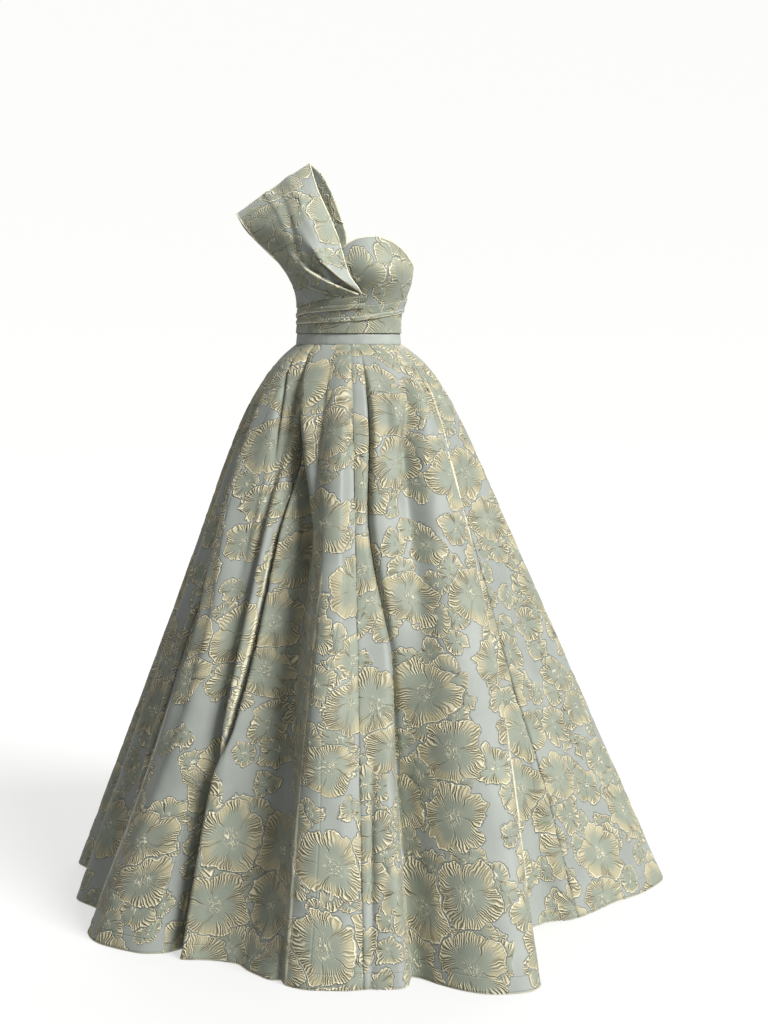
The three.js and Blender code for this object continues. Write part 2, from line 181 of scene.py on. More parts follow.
# Soft creases of the skirt. The path gives the fall and the angle of the crease at each of its points.
# Between start, peak and end of the fall it grows and fades, and its two half widths are in degrees,
# so that it opens towards the hem. Troughs have a negative height
Crease = namedtuple("Crease", "path start peak end before after height")
CREASES = [
    # Deep narrow crease where one front fold lies over the next, and the swell left of it
    Crease([(0, -38.5), (0.035, -34.4), (0.09, -26), (0.25, -25), (0.48, -25.3), (0.64, -26.8), (0.78, -33),
            (1, -35)], -0.02, 0.10, 2, 1.5, 0.7, -0.042),
    Crease([(0, -52), (0.037, -48), (0.08, -42.3), (0.12, -39.8), (0.3, -31.5)],
           0, 0.06, 0.30, 1.5, 1.3, -0.016),
    Crease([(0.05, -36), (0.5, -34.5), (1, -34)], 0.06, 0.36, 0.80, 2.0, 1.8, 0.011),
    Crease([(0.05, -62), (0.3, -48.5), (0.5, -42.3), (0.75, -47.5), (1, -55.6)],
           0.08, 0.45, 1.6, 3.0, 4.6, 0.012),
    # Pressed edge of the far right fold, which falls away sharply behind
    Crease([(0, -62), (0.2, -55.5), (0.37, -52), (0.5, -49.3), (0.69, -56), (0.97, -60.8)],
           0.03, 0.3, 1.8, 1.3, 6.2, 0.013),
    Crease([(0.1, -68), (0.37, -61), (0.5, -58.7), (0.69, -59.2), (1, -65.2)],
           0.1, 0.4, 1.4, 3.6, 5.2, -0.029),
    # Broad valley that runs from the waist pleats to the hem, its near edge rounded
    Crease([(0, -36.2), (0.08, -29.6), (0.2, -21.4), (0.35, -15), (0.5, -15.6), (0.75, -15.4), (1, -19.6)],
           0, 0.26, 2.6, 8.6, 2.9, -0.066),
    Crease([(0.6, -22), (1, -25.5)], 0.52, 0.92, 2, 4.5, 7.5, -0.023),
    Crease([(0.1, -9), (0.35, -5.8), (0.6, -6.7), (1, -12.6)], 0.15, 0.6, 2, 2.0, 7.2, 0.032),
    # Folds either side of the centre front
    Crease([(0, 0), (0.2, -1.8), (1, 0)], 0, 0.2, 1.4, 7.0, 2.2, 0.024),
    Crease([(0, 10.8), (0.1, 11.4), (0.3, 8), (0.55, 13.6), (1, 15)], 0, 0.14, 1.0, 1.1, 1.2, -0.026),
    Crease([(0, 21.8), (0.12, 20.4), (0.3, 18.7), (0.5, 19.5)], 0.02, 0.16, 0.6, 3.8, 3.6, -0.008),
    Crease([(0, 39), (0.1, 35), (0.2, 27.7), (0.35, 25.4), (1, 22.4)], 0, 0.18, 0.85, 5.6, 4.3, -0.034),
    Crease([(0.4, 15.4), (0.7, 14), (1, 14.6)], 0.40, 0.75, 2, 2.1, 12.8, -0.063),
    Crease([(0.5, 6.8), (1, 4.4)], 0.62, 0.80, 1.1, 0.45, 0.8, -0.010),
    # Raised edge of the front left fold, and the side's own swell behind it
    Crease([(0, 69.7), (0.24, 65.1), (0.45, 63.5), (0.7, 61.2), (0.95, 58)], 0, 0.12, 1.0, 3.3, 0.9, 0.004),
    Crease([(0.55, 67.5), (1, 64.6)], 0.55, 0.80, 1.6, 1.5, 5.0, 0.014),
    Crease([(0, 49.4), (0.3, 49.4), (1, 40.3)], 0.05, 0.35, 0.9, 3.4, 4.8, 0.015),
    # Sides and back
    Crease([(0, 80), (1, 76)], 0.10, 0.55, 1.3, 3.0, 2.0, -0.016),
    Crease([(0, 92), (1, 91)], 0.0, 0.20, 0.75, 2.6, 1.6, -0.012),
    Crease([(0, 106), (1, 104)], 0.05, 0.50, 1.5, 4.0, 1.4, -0.018),
    Crease([(0, 121), (1, 122)], 0.30, 0.70, 1.6, 3.0, 3.0, 0.010),
    Crease([(0, 131), (1, 129)], 0.0, 0.15, 0.70, 2.4, 1.6, -0.013),
    Crease([(0, 142), (1, 143)], 0.1, 0.45, 1.8, 1.6, 4.5, -0.022),
    Crease([(0, 160), (1, 162)], 0.05, 0.50, 1.0, 3.4, 2.0, -0.015),
    Crease([(0, 173), (1, 175)], 0.0, 0.14, 0.60, 2.0, 2.0, 0.008),
    Crease([(0, 186), (1, 187)], 0.05, 0.60, 1.6, 4.6, 3.4, -0.020),
    Crease([(0, 201), (1, 200)], 0.0, 0.20, 1.5, 3.6, 1.2, -0.020),
    Crease([(0, 213), (1, 211)], 0.02, 0.22, 0.65, 2.6, 2.0, -0.013),
    Crease([(0, 225), (1, 226)], 0.30, 0.65, 1.4, 3.0, 3.0, 0.010),
    Crease([(0, 238), (1, 236)], 0.02, 0.45, 1.6, 1.4, 4.0, -0.018),
    Crease([(0, 253), (1, 252)], 0.05, 0.40, 0.95, 3.0, 3.4, -0.014),
    Crease([(0, 262), (1, 263)], 0.0, 0.16, 0.55, 2.0, 2.0, 0.008),
    Crease([(0, 277), (1, 279)], 0.20, 0.65, 1.4, 3.6, 2.2, -0.012),
]

# Edges pressed sharp, whose crests get a painted highlight as fine pale lines. Each runs from the fall of its
# first point to its last
PRESSED_LINES = [
    [(0.06, -61), (0.2, -60), (0.37, -54.7), (0.5, -51.8), (0.69, -54.6), (0.97, -60.4)],
    [(0.1, -27), (0.25, -26.4), (0.48, -26.8), (0.64, -28.3), (0.78, -34.6), (1, -36.6)],
    [(0.34, -5.6), (0.6, -8), (1, -9.5)],
    [(0.03, 69.5), (0.24, 65.2), (0.45, 63.6), (0.7, 61.4), (0.95, 58)],
    [(0.1, 128), (0.5, 133), (0.9, 131)],
    [(0.05, 196), (0.5, 203), (1, 202)],
    [(0.1, 243), (0.6, 239), (1, 240)],
]

# Seams are pressed open, so each panel's edge rolls down into them. The bodice's top edge and the drape's
# two edges turn out a little. A depth goes along the normals of the panel's points, which face inwards on
# the skirt and the drape, and outwards elsewhere
EdgeRoll = namedtuple("EdgeRoll", "depth width")
SEAM_ROLL = EdgeRoll(1.6 * MM, 4 * MM)
BODICE_SEAM_ROLL = EdgeRoll(-1.0 * MM, 3 * MM)
BODICE_TOP_ROLL = EdgeRoll(0.8 * MM, 2.5 * MM)
BAND_ROLL = EdgeRoll(-0.8 * MM, 2 * MM)
DRAPE_ROLL = EdgeRoll(-1.5 * MM, 2.5 * MM)
SIDES = ("first_column", "last_column")

# The hem is turned up this far, and the line of its stitches just shows
HEM_TURN = 28 * MM

# The waistband stands a little proud of the seams above and below it
BAND_RISE = 1.5 * MM

# Grid fineness: columns and rows of each kind of panel
Fineness = namedtuple("Fineness", "columns rows")
FRONT_GORE_GRID = Fineness(160, 250)
GORE_GRID = Fineness(96, 190)
# A gore's columns are evenly spaced at this fall, and its rows crowd towards the waist by this power
GORE_EVEN_AT = 0.6
GORE_CROWDING = 1.08
BODICE_GRID = Fineness(60, 70)
BAND_GRID = Fineness(120, 10)
PLEAT_GRID = Fineness(180, 26)
DRAPE_GRID = Fineness(150, 240)

BandPart = namedtuple("BandPart", "name start end cut_at")
BAND_PARTS = [
    BandPart("waistband_front", -92, 92, (9.10, 0.40)),
    BandPart("waistband_back_left", 92, 180, (9.10, 0.80)),
    BandPart("waistband_back_right", 180, 268, (9.10, 1.20)),
]
BODICE_PARTS = [
    BandPart("bodice_front_right", -92, BODICE_TURN, (10.24, 0.33)),
    BandPart("bodice_front_left", BODICE_TURN, 92, (11.02, 0.52)),
    BandPart("bodice_back_left", 92, 180, (11.90, 0.10)),
    BandPart("bodice_back_right", -180, -92, (12.60, 0.71)),
]

# Wrapped midriff: lower and upper edges by angle. Each pleat covers the edge of the next one down
PleatEdge = namedtuple("PleatEdge", "angle low high")
Pleat = namedtuple("Pleat", "name layer edges cut_at")
MIDRIFF_PLEATS = [
    Pleat("midriff_pleat_lower", 1, [
        PleatEdge(-92, SEAM_RISE, 0.047),
        PleatEdge(-45, SEAM_RISE, 0.050),
        PleatEdge(0, SEAM_RISE, 0.053),
        PleatEdge(45, SEAM_RISE, 0.064),
        PleatEdge(92, SEAM_RISE, 0.073),
    ], (13.31, 0.42)),
    Pleat("midriff_pleat_middle", 2, [
        PleatEdge(-92, 0.043, 0.061),
        PleatEdge(-45, 0.046, 0.071),
        PleatEdge(0, 0.049, 0.078),
        PleatEdge(45, 0.060, 0.086),
        PleatEdge(92, 0.069, 0.098),
    ], (14.05, 0.19)),
    Pleat("midriff_pleat_upper", 2, [
        PleatEdge(-92, 0.057, 0.075),
        PleatEdge(-45, 0.067, 0.087),
        PleatEdge(0, 0.074, 0.097),
        PleatEdge(15, 0.077, 0.100),
    ], (14.82, 0.77)),
]
PLEAT_LAP = 5 * MM
PLEAT_TUCK = 9 * MM
PLEAT_STEP = 2.5 * MM
# Towards the side seams the pleats lie closer, over this many degrees, and each bellies out a little
PLEAT_SIDE = 92
PleatEase = namedtuple("PleatEase", "least over belly")
PLEAT_EASE = PleatEase(0.86, 20, 0.6 * MM)

# The lower edge of an upper pleat is rolled like a cord, with its crest this many widths up. By angle the
# roll grows from its start over so many degrees, and over others it fades until its end
PleatRoll = namedtuple("PleatRoll", "width height crest start grow end fade")
PLEAT_ROLL = PleatRoll(4 * MM, 1.8 * MM, 0.6, -88, 30, 40, 14)

# Shoulder drape, base of the front to base of the back: neckline edge, middle and outer edge
DrapeRow = namedtuple("DrapeRow", "run neck middle outer")
DRAPE = [
    DrapeRow(0, (0.031, -0.120, 0.103), (-0.050, -0.112, 0.092), (-0.102, -0.024, 0.078)),
    DrapeRow(0.12, (0.006, -0.134, 0.138), (-0.060, -0.130, 0.128), (-0.108, -0.036, 0.110)),
    DrapeRow(0.22, (-0.004, -0.134, 0.168), (-0.074, -0.133, 0.163), (-0.120, -0.058, 0.140)),
    DrapeRow(0.31, (-0.014, -0.119, 0.203), (-0.088, -0.126, 0.200), (-0.147, -0.066, 0.177)),
    DrapeRow(0.4, (-0.033, -0.094, 0.252), (-0.104, -0.108, 0.240), (-0.181, -0.055, 0.208)),
    DrapeRow(0.47, (-0.062, -0.050, 0.320), (-0.125, -0.062, 0.290), (-0.216, -0.032, 0.246)),
    DrapeRow(0.52, (-0.079, 0.004, 0.378), (-0.152, -0.002, 0.329), (-0.234, -0.008, 0.272)),
    DrapeRow(0.57, (-0.058, 0.052, 0.362), (-0.138, 0.052, 0.304), (-0.222, 0.030, 0.247)),
    DrapeRow(0.7, (-0.026, 0.098, 0.298), (-0.106, 0.100, 0.245), (-0.178, 0.066, 0.202)),
    DrapeRow(0.85, (-0.005, 0.112, 0.220), (-0.078, 0.106, 0.192), (-0.140, 0.058, 0.168)),
    DrapeRow(1, (-0.014, 0.106, 0.146), (-0.068, 0.097, 0.146), (-0.117, 0.040, 0.146)),
]
DRAPE_LEAN = 0.6
DRAPE_CUT_AT = (15.70, 0.36)

# Rolled pleats that fan out of the drape's front base. The path gives the run and the place across of each
# crest. A pleat is full height at its peak and gone at its end, and its two half widths are places across.
# The crest of a pressed one gets a painted highlight as a pale line, with painted shade on its steep side
DrapePleat = namedtuple("DrapePleat", "path peak end before after height pressed")
DRAPE_PLEATS = [
    DrapePleat([(0, 0), (0.048, 0.042), (0.088, 0.095), (0.125, 0.15), (0.18, 0.23), (0.23, 0.31),
                (0.34, 0.40)], 0.09, 0.34, 0.13, 0.020, 0.018, True),
    DrapePleat([(0, 0.04), (0.04, 0.14), (0.072, 0.23), (0.113, 0.35), (0.18, 0.52), (0.248, 0.66)],
               0.10, 0.32, 0.024, 0.14, 0.017, True),
    DrapePleat([(0, 0.24), (0.035, 0.41), (0.077, 0.575), (0.135, 0.775), (0.198, 0.91)],
               0.06, 0.24, 0.10, 0.020, 0.008, True),
    DrapePleat([(0.1, 0.42), (0.198, 0.58), (0.235, 0.67), (0.30, 0.76)],
               0.22, 0.36, 0.06, 0.08, 0.007, False),
    DrapePleat([(0.2, 0.30), (0.257, 0.31), (0.303, 0.40), (0.4, 0.44)],
               0.28, 0.44, 0.07, 0.08, 0.006, False),
    DrapePleat([(0.2, 0.66), (0.338, 0.60), (0.412, 0.57), (0.52, 0.53)],
               0.40, 0.62, 0.06, 0.07, -0.006, False),
    DrapePleat([(0, 0.72), (0.2, 0.98)], 0.04, 0.16, 0.05, 0.05, 0.003, False),
    # Behind, the same pleats gather again at the back base
    DrapePleat([(0.55, 0.30), (1, 0.34)], 0.86, 1.4, 0.05, 0.09, 0.006, False),
    DrapePleat([(0.6, 0.62), (1, 0.60)], 0.88, 1.4, 0.09, 0.04, 0.005, False),
]
# At the base a pleat has this share of its width and height, and it is full width this far along
PLEAT_ROOT = 0.3
PLEAT_OPEN = 0.16
# The painted shade is deepest this far behind a pressed crest, and takes this share of the cloth's colour
# there
FOLD_SHADE = 5 * MM
FOLD_DARK = 0.75
# A pressed crest softens over this much of the run, and is gone as much before the pleat's end. The skirt's
# pressed lines soften over as much of the fall
PRESS_FADE = 0.07
# A line that has faded is drawn as if the place were this far off: on the skirt, and on the drape
SKIRT_LINE_HIDE = 3 * MM
DRAPE_LINE_HIDE = 6 * MM
# Distances from the skirt's pressed lines are taken at this share, which draws the lines wider
SKIRT_LINE_SHARE = 0.6

# Flowers of the brocade, in millimetres: spacing and size of each kind, its number of petals,
# the share of places that hold one, how far places stray, and where the kind starts on the cloth
Flower = namedtuple("Flower", "cell radius petals share stray shift")
FLOWERS = [
    Flower(58, 28, 3, 0.62, 0.75, (0.37, 0.61)),
    Flower(90, 44, 4, 0.72, 0.70, (0.15, 0.83)),
    Flower(132, 68, 5, 0.84, 0.62, (0.72, 0.29)),
]

# Above the waist the gathers and gilt rims have this share of their strength, and the cloth is lighter
CALM = 0.42
CALM_LIFT = 1.18
# The waistband's satin is this much lighter than the brocade's ground
SATIN_LIFT = 1.36

# The camera stands in front of the waist, and its tilt is measured from straight down
View = namedtuple("View", "lens sensor place tilt")
CAMERA = View(56.08, 36, (0.0753, -3.4, 0), 84.023)

# Soft lights: the setting that holds the power, then bearing from the front, height and spread in degrees
SoftLight = namedtuple("SoftLight", "name power bearing height spread")
LIGHTS = [SoftLight("Key light", "key_power", 54, 38, 26), SoftLight("Back light", "back_power", 172, 45, 50)]
WORLD_LIGHT = 0.40

# The paper under the gown, and the curved backdrop round it
Paper = namedtuple("Paper", "name base rough glow shadow")
FLOOR_PAPER = Paper("Studio floor", "#888888", 0.9, 0.70, True)
BACKDROP_PAPER = Paper("Studio backdrop", "#000000", 1.0, 1.12, False)
# It lies this far below the hem, and points of it that are closer than this are joined
PAPER_GAP = 0.5 * MM
PAPER_REACH = 9.0
PAPER_STEPS = 16
PAPER_SPIN_STEPS = 96

# A petal's reach as shares of the flower's size: all round, where it bulges, and how far its edge wanders.
# The bulge's power, which is below 1, makes the petals broad
PetalShape = namedtuple("PetalShape", "plain bulge wander power")
PETAL = PetalShape(0.28, 0.26, 0.86, 0.45)
# A flower is oval, because distances one way across it are scaled by the least amount and up to so much more
OvalScale = namedtuple("OvalScale", "least more")
OVAL = OvalScale(0.80, 0.55)

# In millimetres: how far flowers' places sway, how far outside a flower an empty place counts, how far each
# of the largest flowers ends from the border between them, and how far round itself a flower hides others
SWAY = 26.0
EMPTY = 500.0
BORDER_GAP = 1.6
HIDE_ROUND = 2.5
# Gathers for each millimetre of a flower's size, which puts them about 6.5 mm apart at the rim
GATHERS_PER_SIZE = 0.92

MATH = "ShaderNodeMath"
VECTOR = "ShaderNodeVectorMath"
NOISE = "ShaderNodeTexNoise"
VORONOI = "ShaderNodeTexVoronoi"
RANGE = "ShaderNodeMapRange"
MIX = "ShaderNodeMix"
JOIN = "ShaderNodeCombineXYZ"
SPLIT = "ShaderNodeSeparateXYZ"
SOFT = {"interpolation_type": "SMOOTHSTEP"}


def linear(hex_code):
    """A colour's linear red, green, blue and alpha from its sRGB hex code."""
    parts = [int(hex_code[i : i + 2], 16) / 255 for i in (1, 3, 5)]
    return [p / 12.92 if p <= 0.04045 else ((p + 0.055) / 1.055) ** 2.4 for p in parts] + [1.0]


class ClothSizes(bpy.types.PropertyGroup):
    thickness: bpy.props.FloatProperty(
        name="Cloth thickness", description="Wall of every panel", default=CLOTH, min=0.001, max=0.003,
        unit="LENGTH", subtype="DISTANCE",
    )
    puff: bpy.props.FloatProperty(
        name="Flower puff", description="How far the woven flowers stand up", default=1.1 * MM, max=0.002,
        unit="LENGTH", subtype="DISTANCE",
    )


def colour_setting(name, description, hex_code):
    return bpy.props.FloatVectorProperty(
        name=name, description=description, default=linear(hex_code)[:3],
        size=3, subtype="COLOR", min=0, max=1,
    )


class BrocadeColours(bpy.types.PropertyGroup):
    ground: colour_setting("Ground", "Satin between the flowers", "#8F948D")
    heart: colour_setting("Heart", "Middle of a flower", "#858B7C")
    rim: colour_setting("Rim", "Ruffled outer part of a flower", "#A9A182")
    cord: colour_setting("Cord", "Pale outline of a flower", "#E2DCBE")


class StudioSettings(bpy.types.PropertyGroup):
    floor: colour_setting("Floor", "Pale studio floor", "#EEEEEC")
    key_power: bpy.props.FloatProperty(
        name="Key light", description="Strength of the main soft light, in watts a square metre",
        default=4.9, min=0,
    )
    back_power: bpy.props.FloatProperty(
        name="Back light", description="Strength of the light from behind, in watts a square metre",
        default=1.6, min=0,
    )


def row_slopes(xs, ys):
    """Slope at each row of a table, flat at crests and troughs so that no fold overshoots."""
    steps = np.diff(ys) / np.diff(xs)
    before, after = steps[:-1], steps[1:]
    alike = before * after > 0
    both = np.where(alike, before + after, 1)
    inside = np.where(alike, 2 * before * after / both, 0)
    return np.concatenate([steps[:1], inside, steps[-1:]])


def curve_through(xs, ys):
    """A smooth curve through points, for arrays of x."""
    xs = np.asarray(xs, float)
    ys = np.asarray(ys, float)
    slopes = row_slopes(xs, ys)

    def curve(x):
        i = np.clip(np.searchsorted(xs, x, side="right") - 1, 0, len(xs) - 2)
        width = xs[i + 1] - xs[i]
        s = np.clip((x - xs[i]) / width, 0, 1)
        rise = ys[i] * (1 + 2 * s) * (1 - s) ** 2 + ys[i + 1] * s * s * (3 - 2 * s)
        return rise + width * (slopes[i] * s * (1 - s) ** 2 - slopes[i + 1] * s * s * (1 - s))

    return curve


def column(rows, key, value):
    return curve_through([getattr(row, key) for row in rows], [getattr(row, value) for row in rows])


def smooth(x):
    """0 below 0, 1 above 1 and a soft step between."""
    x = np.clip(x, 0, 1)
    return x * x * (3 - 2 * x)


torso_shift = column(TORSO, "height", "shift")
torso_half = column(TORSO, "height", "half")
torso_front = column(TORSO, "height", "front")
torso_back = column(TORSO, "height", "back")
top_edge = column(TOP_EDGE, "angle", "height")
ring = [Fold(f.waist + turn, f.hem + turn, f.reach) for turn in (-360, 0, 360) for f in FOLDS]
hem_angle = column(ring, "waist", "hem")
hem_reach = column(ring, "waist", "reach")
drape_runs = [row.run for row in DRAPE]
drape_tracks = [
    [curve_through(drape_runs, places) for places in zip(*track)]
    for track in ([row.neck for row in DRAPE], [row.middle for row in DRAPE], [row.outer for row in DRAPE])
]


def torso_point(angle, height, out=0.0):
    """A point of the torso's cloth at an angle and a height, moved out by a distance."""
    sine = np.sin(angle * DEGREE)
    cosine = np.cos(angle * DEGREE)
    turned = angle - BODICE_TURN
    cups = 0
    for side in (CUP.side, -CUP.side):
        sideways = ((turned - side) / CUP.angle_spread) ** 2
        cups = cups + CUP.rise * np.exp(-sideways - ((height - CUP.height) / CUP.height_spread) ** 2)
    depth = np.where(cosine > 0, torso_front(height), torso_back(height))
    x = torso_shift(height) + (torso_half(height) + cups + out) * sine
    y = -(depth + cups + out) * cosine
    return np.stack(np.broadcast_arrays(x, y, height), axis=-1)


def flare(fall):
    return fall + FLARE.lift * (1 - fall) * (1 - np.exp(-fall / FLARE.settle))


def skirt_point(angle, fall):
    """A point of the skirt's cloth, by its angle at the waist and its fall from waist 0 to hem 1."""
    waist = torso_point(angle, np.zeros_like(angle))
    bearing = np.arctan2(waist[..., 0], -waist[..., 1]) / DEGREE
    unwound = bearing + 360 * np.round((angle - bearing) / 360)
    start = np.hypot(waist[..., 0], waist[..., 1])
    hem = hem_angle(angle)
    swing = (hem + (unwound - hem) * (1 - fall) ** FLARE.swing) * DEGREE
    reach = start + (hem_reach(angle) - start) * flare(fall) + crease_height(angle, fall)
    return np.stack([reach * np.sin(swing), -reach * np.cos(swing), -SKIRT_LENGTH * fall], axis=-1)


def crease_height(angle, fall):
    """How far the soft creases stand off the main folds."""
    total = 0
    for crease in CREASES:
        centre = curve_through(*zip(*crease.path))(fall)
        grow = smooth((fall - crease.start) / (crease.peak - crease.start))
        fade = smooth((crease.end - fall) / (crease.end - crease.peak))
        for turn in (-360, 0, 360):
            away = angle - centre - turn
            away = away / np.where(away < 0, crease.before, crease.after)
            total = total + crease.height * np.exp(-away * away) * np.minimum(grow, fade)
    return total


def clear_of_torso(points, out):
    """Keeps points of an outer layer off the torso by a distance."""
    x, y, z = points[..., 0], points[..., 1], points[..., 2]
    dx = x - torso_shift(z)
    depth = np.where(y < 0, torso_front(z), torso_back(z))
    angle = np.arctan2(dx / torso_half(z), -y / depth) / DEGREE
    limit = torso_point(angle, z, out)
    wanted = np.hypot(limit[..., 0] - torso_shift(z), limit[..., 1])
    actual = np.hypot(dx, y)
    free = (actual >= wanted) | (z > top_edge(np.abs(angle - BODICE_TURN)) + CLOTH)
    scale = np.where(free, 1, wanted / actual)
    return np.stack([torso_shift(z) + dx * scale, y * scale, z], axis=-1)


def drape_point(across, run):
    """A point of the shoulder drape, from neckline 0 to outer edge 1, from front base 0 to back base 1."""
    neck, middle, outer = [np.stack([axis(run) for axis in track], axis=-1) for track in drape_tracks]
    neck_share = ((1 - across) * (1 - 2 * across))[..., None]
    outer_share = (across * (2 * across - 1))[..., None]
    point = neck * neck_share + middle * (1 - neck_share - outer_share) + outer * outer_share
    point = clear_of_torso(point, 2 * LAYER_STEP)
    lean = np.stack([point[..., 0] * DRAPE_LEAN, point[..., 1], np.zeros_like(across)], axis=-1)
    lean /= np.linalg.norm(lean, axis=-1, keepdims=True)
    from_base = np.minimum(run, 1 - run)
    opening = PLEAT_ROOT + (1 - PLEAT_ROOT) * np.minimum(from_base / PLEAT_OPEN, 1)
    for pleat in DRAPE_PLEATS:
        away = across - curve_through(*zip(*pleat.path))(run)
        away = away / (np.where(away < 0, pleat.before, pleat.after) * opening)
        grow = PLEAT_ROOT + (1 - PLEAT_ROOT) * smooth(run / pleat.peak)
        fade = smooth((pleat.end - run) / (pleat.end - pleat.peak))
        point = point + lean * (pleat.height * np.exp(-away * away) * np.minimum(grow, fade))[..., None]
    return clear_of_torso(point, 2 * LAYER_STEP)


def past_line(points, columns, places):
    """Distance along the cloth past a line, which crosses each row of the grid at its own column."""
    lengths = lengths_along(points, 0)
    at_line = [np.interp(place, columns, row) for place, row in zip(places, lengths.T)]
    return lengths - np.array(at_line)


def skirt_folds(points, angles, falls):
    """Distance of each place of a gore from the nearest pressed line, and its shade, which is none."""
    near = np.full(points.shape[:2], 1.0)
    for path in PRESSED_LINES:
        line = curve_through(*zip(*path))(falls)
        line = np.where(line + 360 < angles[-1], line + 360, line)
        top, bottom = path[0][0], path[-1][0] + PRESS_FADE / 2
        shown = smooth((falls - top) / PRESS_FADE) * smooth((bottom - falls) / PRESS_FADE)
        shown = np.where((line > angles[0]) & (line < angles[-1]), shown, 0)
        away = SKIRT_LINE_SHARE * np.abs(past_line(points, angles, line))
        near = np.minimum(near, away + SKIRT_LINE_HIDE * (1 - shown) + (shown == 0))
    return near, np.zeros(points.shape[:2])


def drape_folds(points, across, run):
    """Distance of each place of the drape from a pressed crest, and how much painted shade it gets behind a
    crest.
    """
    near = np.full(points.shape[:2], 1.0)
    shade = np.zeros(points.shape[:2])
    for pleat in DRAPE_PLEATS:
        if not pleat.pressed:
            continue
        away = past_line(points, across, curve_through(*zip(*pleat.path))(run))
        fade = smooth((pleat.end - PRESS_FADE - run) / PRESS_FADE)
        near = np.minimum(near, np.abs(away) + DRAPE_LINE_HIDE * (1 - fade))
        steep = 1 if pleat.after < pleat.before else -1
        shade = np.maximum(shade, np.exp(-((away * steep / FOLD_SHADE - 1) ** 2)) * fade)
    return near, shade


def bodice_point(angle, rise):
    top = top_edge(np.abs(angle - BODICE_TURN))
    return torso_point(angle, SEAM_RISE + (top - SEAM_RISE) * rise)


def lengths_along(points, axis):
    """Distance along a grid of points from its first row or column."""
    steps = np.linalg.norm(np.diff(points, axis=axis), axis=-1)
    first = np.zeros_like(np.take(steps, [0], axis=axis))
    return np.concatenate([first, np.cumsum(steps, axis=axis)], axis=axis)


def flat_gore(points):
    """A gore opened out flat: each row becomes an arc about the point where its seams would meet."""
    across = lengths_along(points, 0)
    across = across - across[len(points) // 2]
    slant = lengths_along(points, 1).mean(axis=0)
    width = across[-1] - across[0]
    growth, start = np.polyfit(slant, width, 1)
    radius = start / growth + slant
    turn = across / radius
    return np.stack([radius * np.sin(turn), -radius * np.cos(turn)], axis=-1)


def flat_strip(points):
    """A panel opened out flat: its middle column stays straight and each row is laid square to it."""
    across = lengths_along(points, 0)
    across = across - across[len(points) // 2]
    along = lengths_along(points, 1).mean(axis=0)
    return np.stack(np.broadcast_arrays(across, along), axis=-1)


def even_steps(surface, start, end, count, row):
    """Column values from start to end, the same length of cloth apart along one row."""
    values = np.linspace(start, end, 40 * count + 1)
    lengths = lengths_along(surface(values, np.full_like(values, row)), 0)
    return np.interp(np.linspace(0, lengths[-1], count + 1), lengths, values)


def away_from_ends(points):
    """Distance along the cloth from each end of a grid of points."""
    across = lengths_along(points, 0)
    along = lengths_along(points, 1)
    return {
        "first_column": across,
        "last_column": across[-1:] - across,
        "first_row": along,
        "last_row": along[:, -1:] - along,
    }


def edge_normals(points):
    """Unit normals of a grid of points, its columns crossed with its rows."""
    side = np.gradient(points, axis=0)
    rise = np.gradient(points, axis=1)
    normal = np.cross(side, rise)
    return normal / np.linalg.norm(normal, axis=-1, keepdims=True)


def add_node(tree, kind, *inputs, sockets=None, **settings):
    """Adds a node, with its settings, and links or sets its inputs."""
    made = tree.nodes.new(kind)
    for name, value in settings.items():
        setattr(made, name, value)
    for key, value in [*enumerate(inputs), *(sockets or {}).items()]:
        if isinstance(value, bpy.types.Node):
            value = value.outputs[0]
        if isinstance(value, bpy.types.NodeSocket):
            tree.links.new(value, made.inputs[key])
        elif value is not None:
            made.inputs[key].default_value = value
    return made


def layered(tree, colour, *layers):
    """A colour with others laid over it in turn, each by its share."""
    for share, over in layers:
        colour = add_node(tree, MIX, data_type="RGBA", sockets={0: share, 6: colour, 7: over}).outputs[2]
    return colour


def line_at(tree, distance, place, reach):
    """A soft line where a distance has one value, 1 along its middle and 0 at its reach."""
    away = add_node(tree, MATH, distance, place, operation="SUBTRACT")
    away = add_node(tree, MATH, away, operation="ABSOLUTE")
    return add_node(tree, RANGE, away, 0.3, reach, 1.0, 0.0, **SOFT)


def warp_floats(tree, in_mm):
    """Warp floats of satin, far too fine to show, so they are drawn as streaks 1.5 mm apart."""
    streaks = add_node(tree, VECTOR, in_mm, (0.65, 0.03, 0), operation="MULTIPLY")
    return add_node(tree, NOISE, streaks, sockets={"Scale": 1.0, "Detail": 1.0}, noise_dimensions="2D")


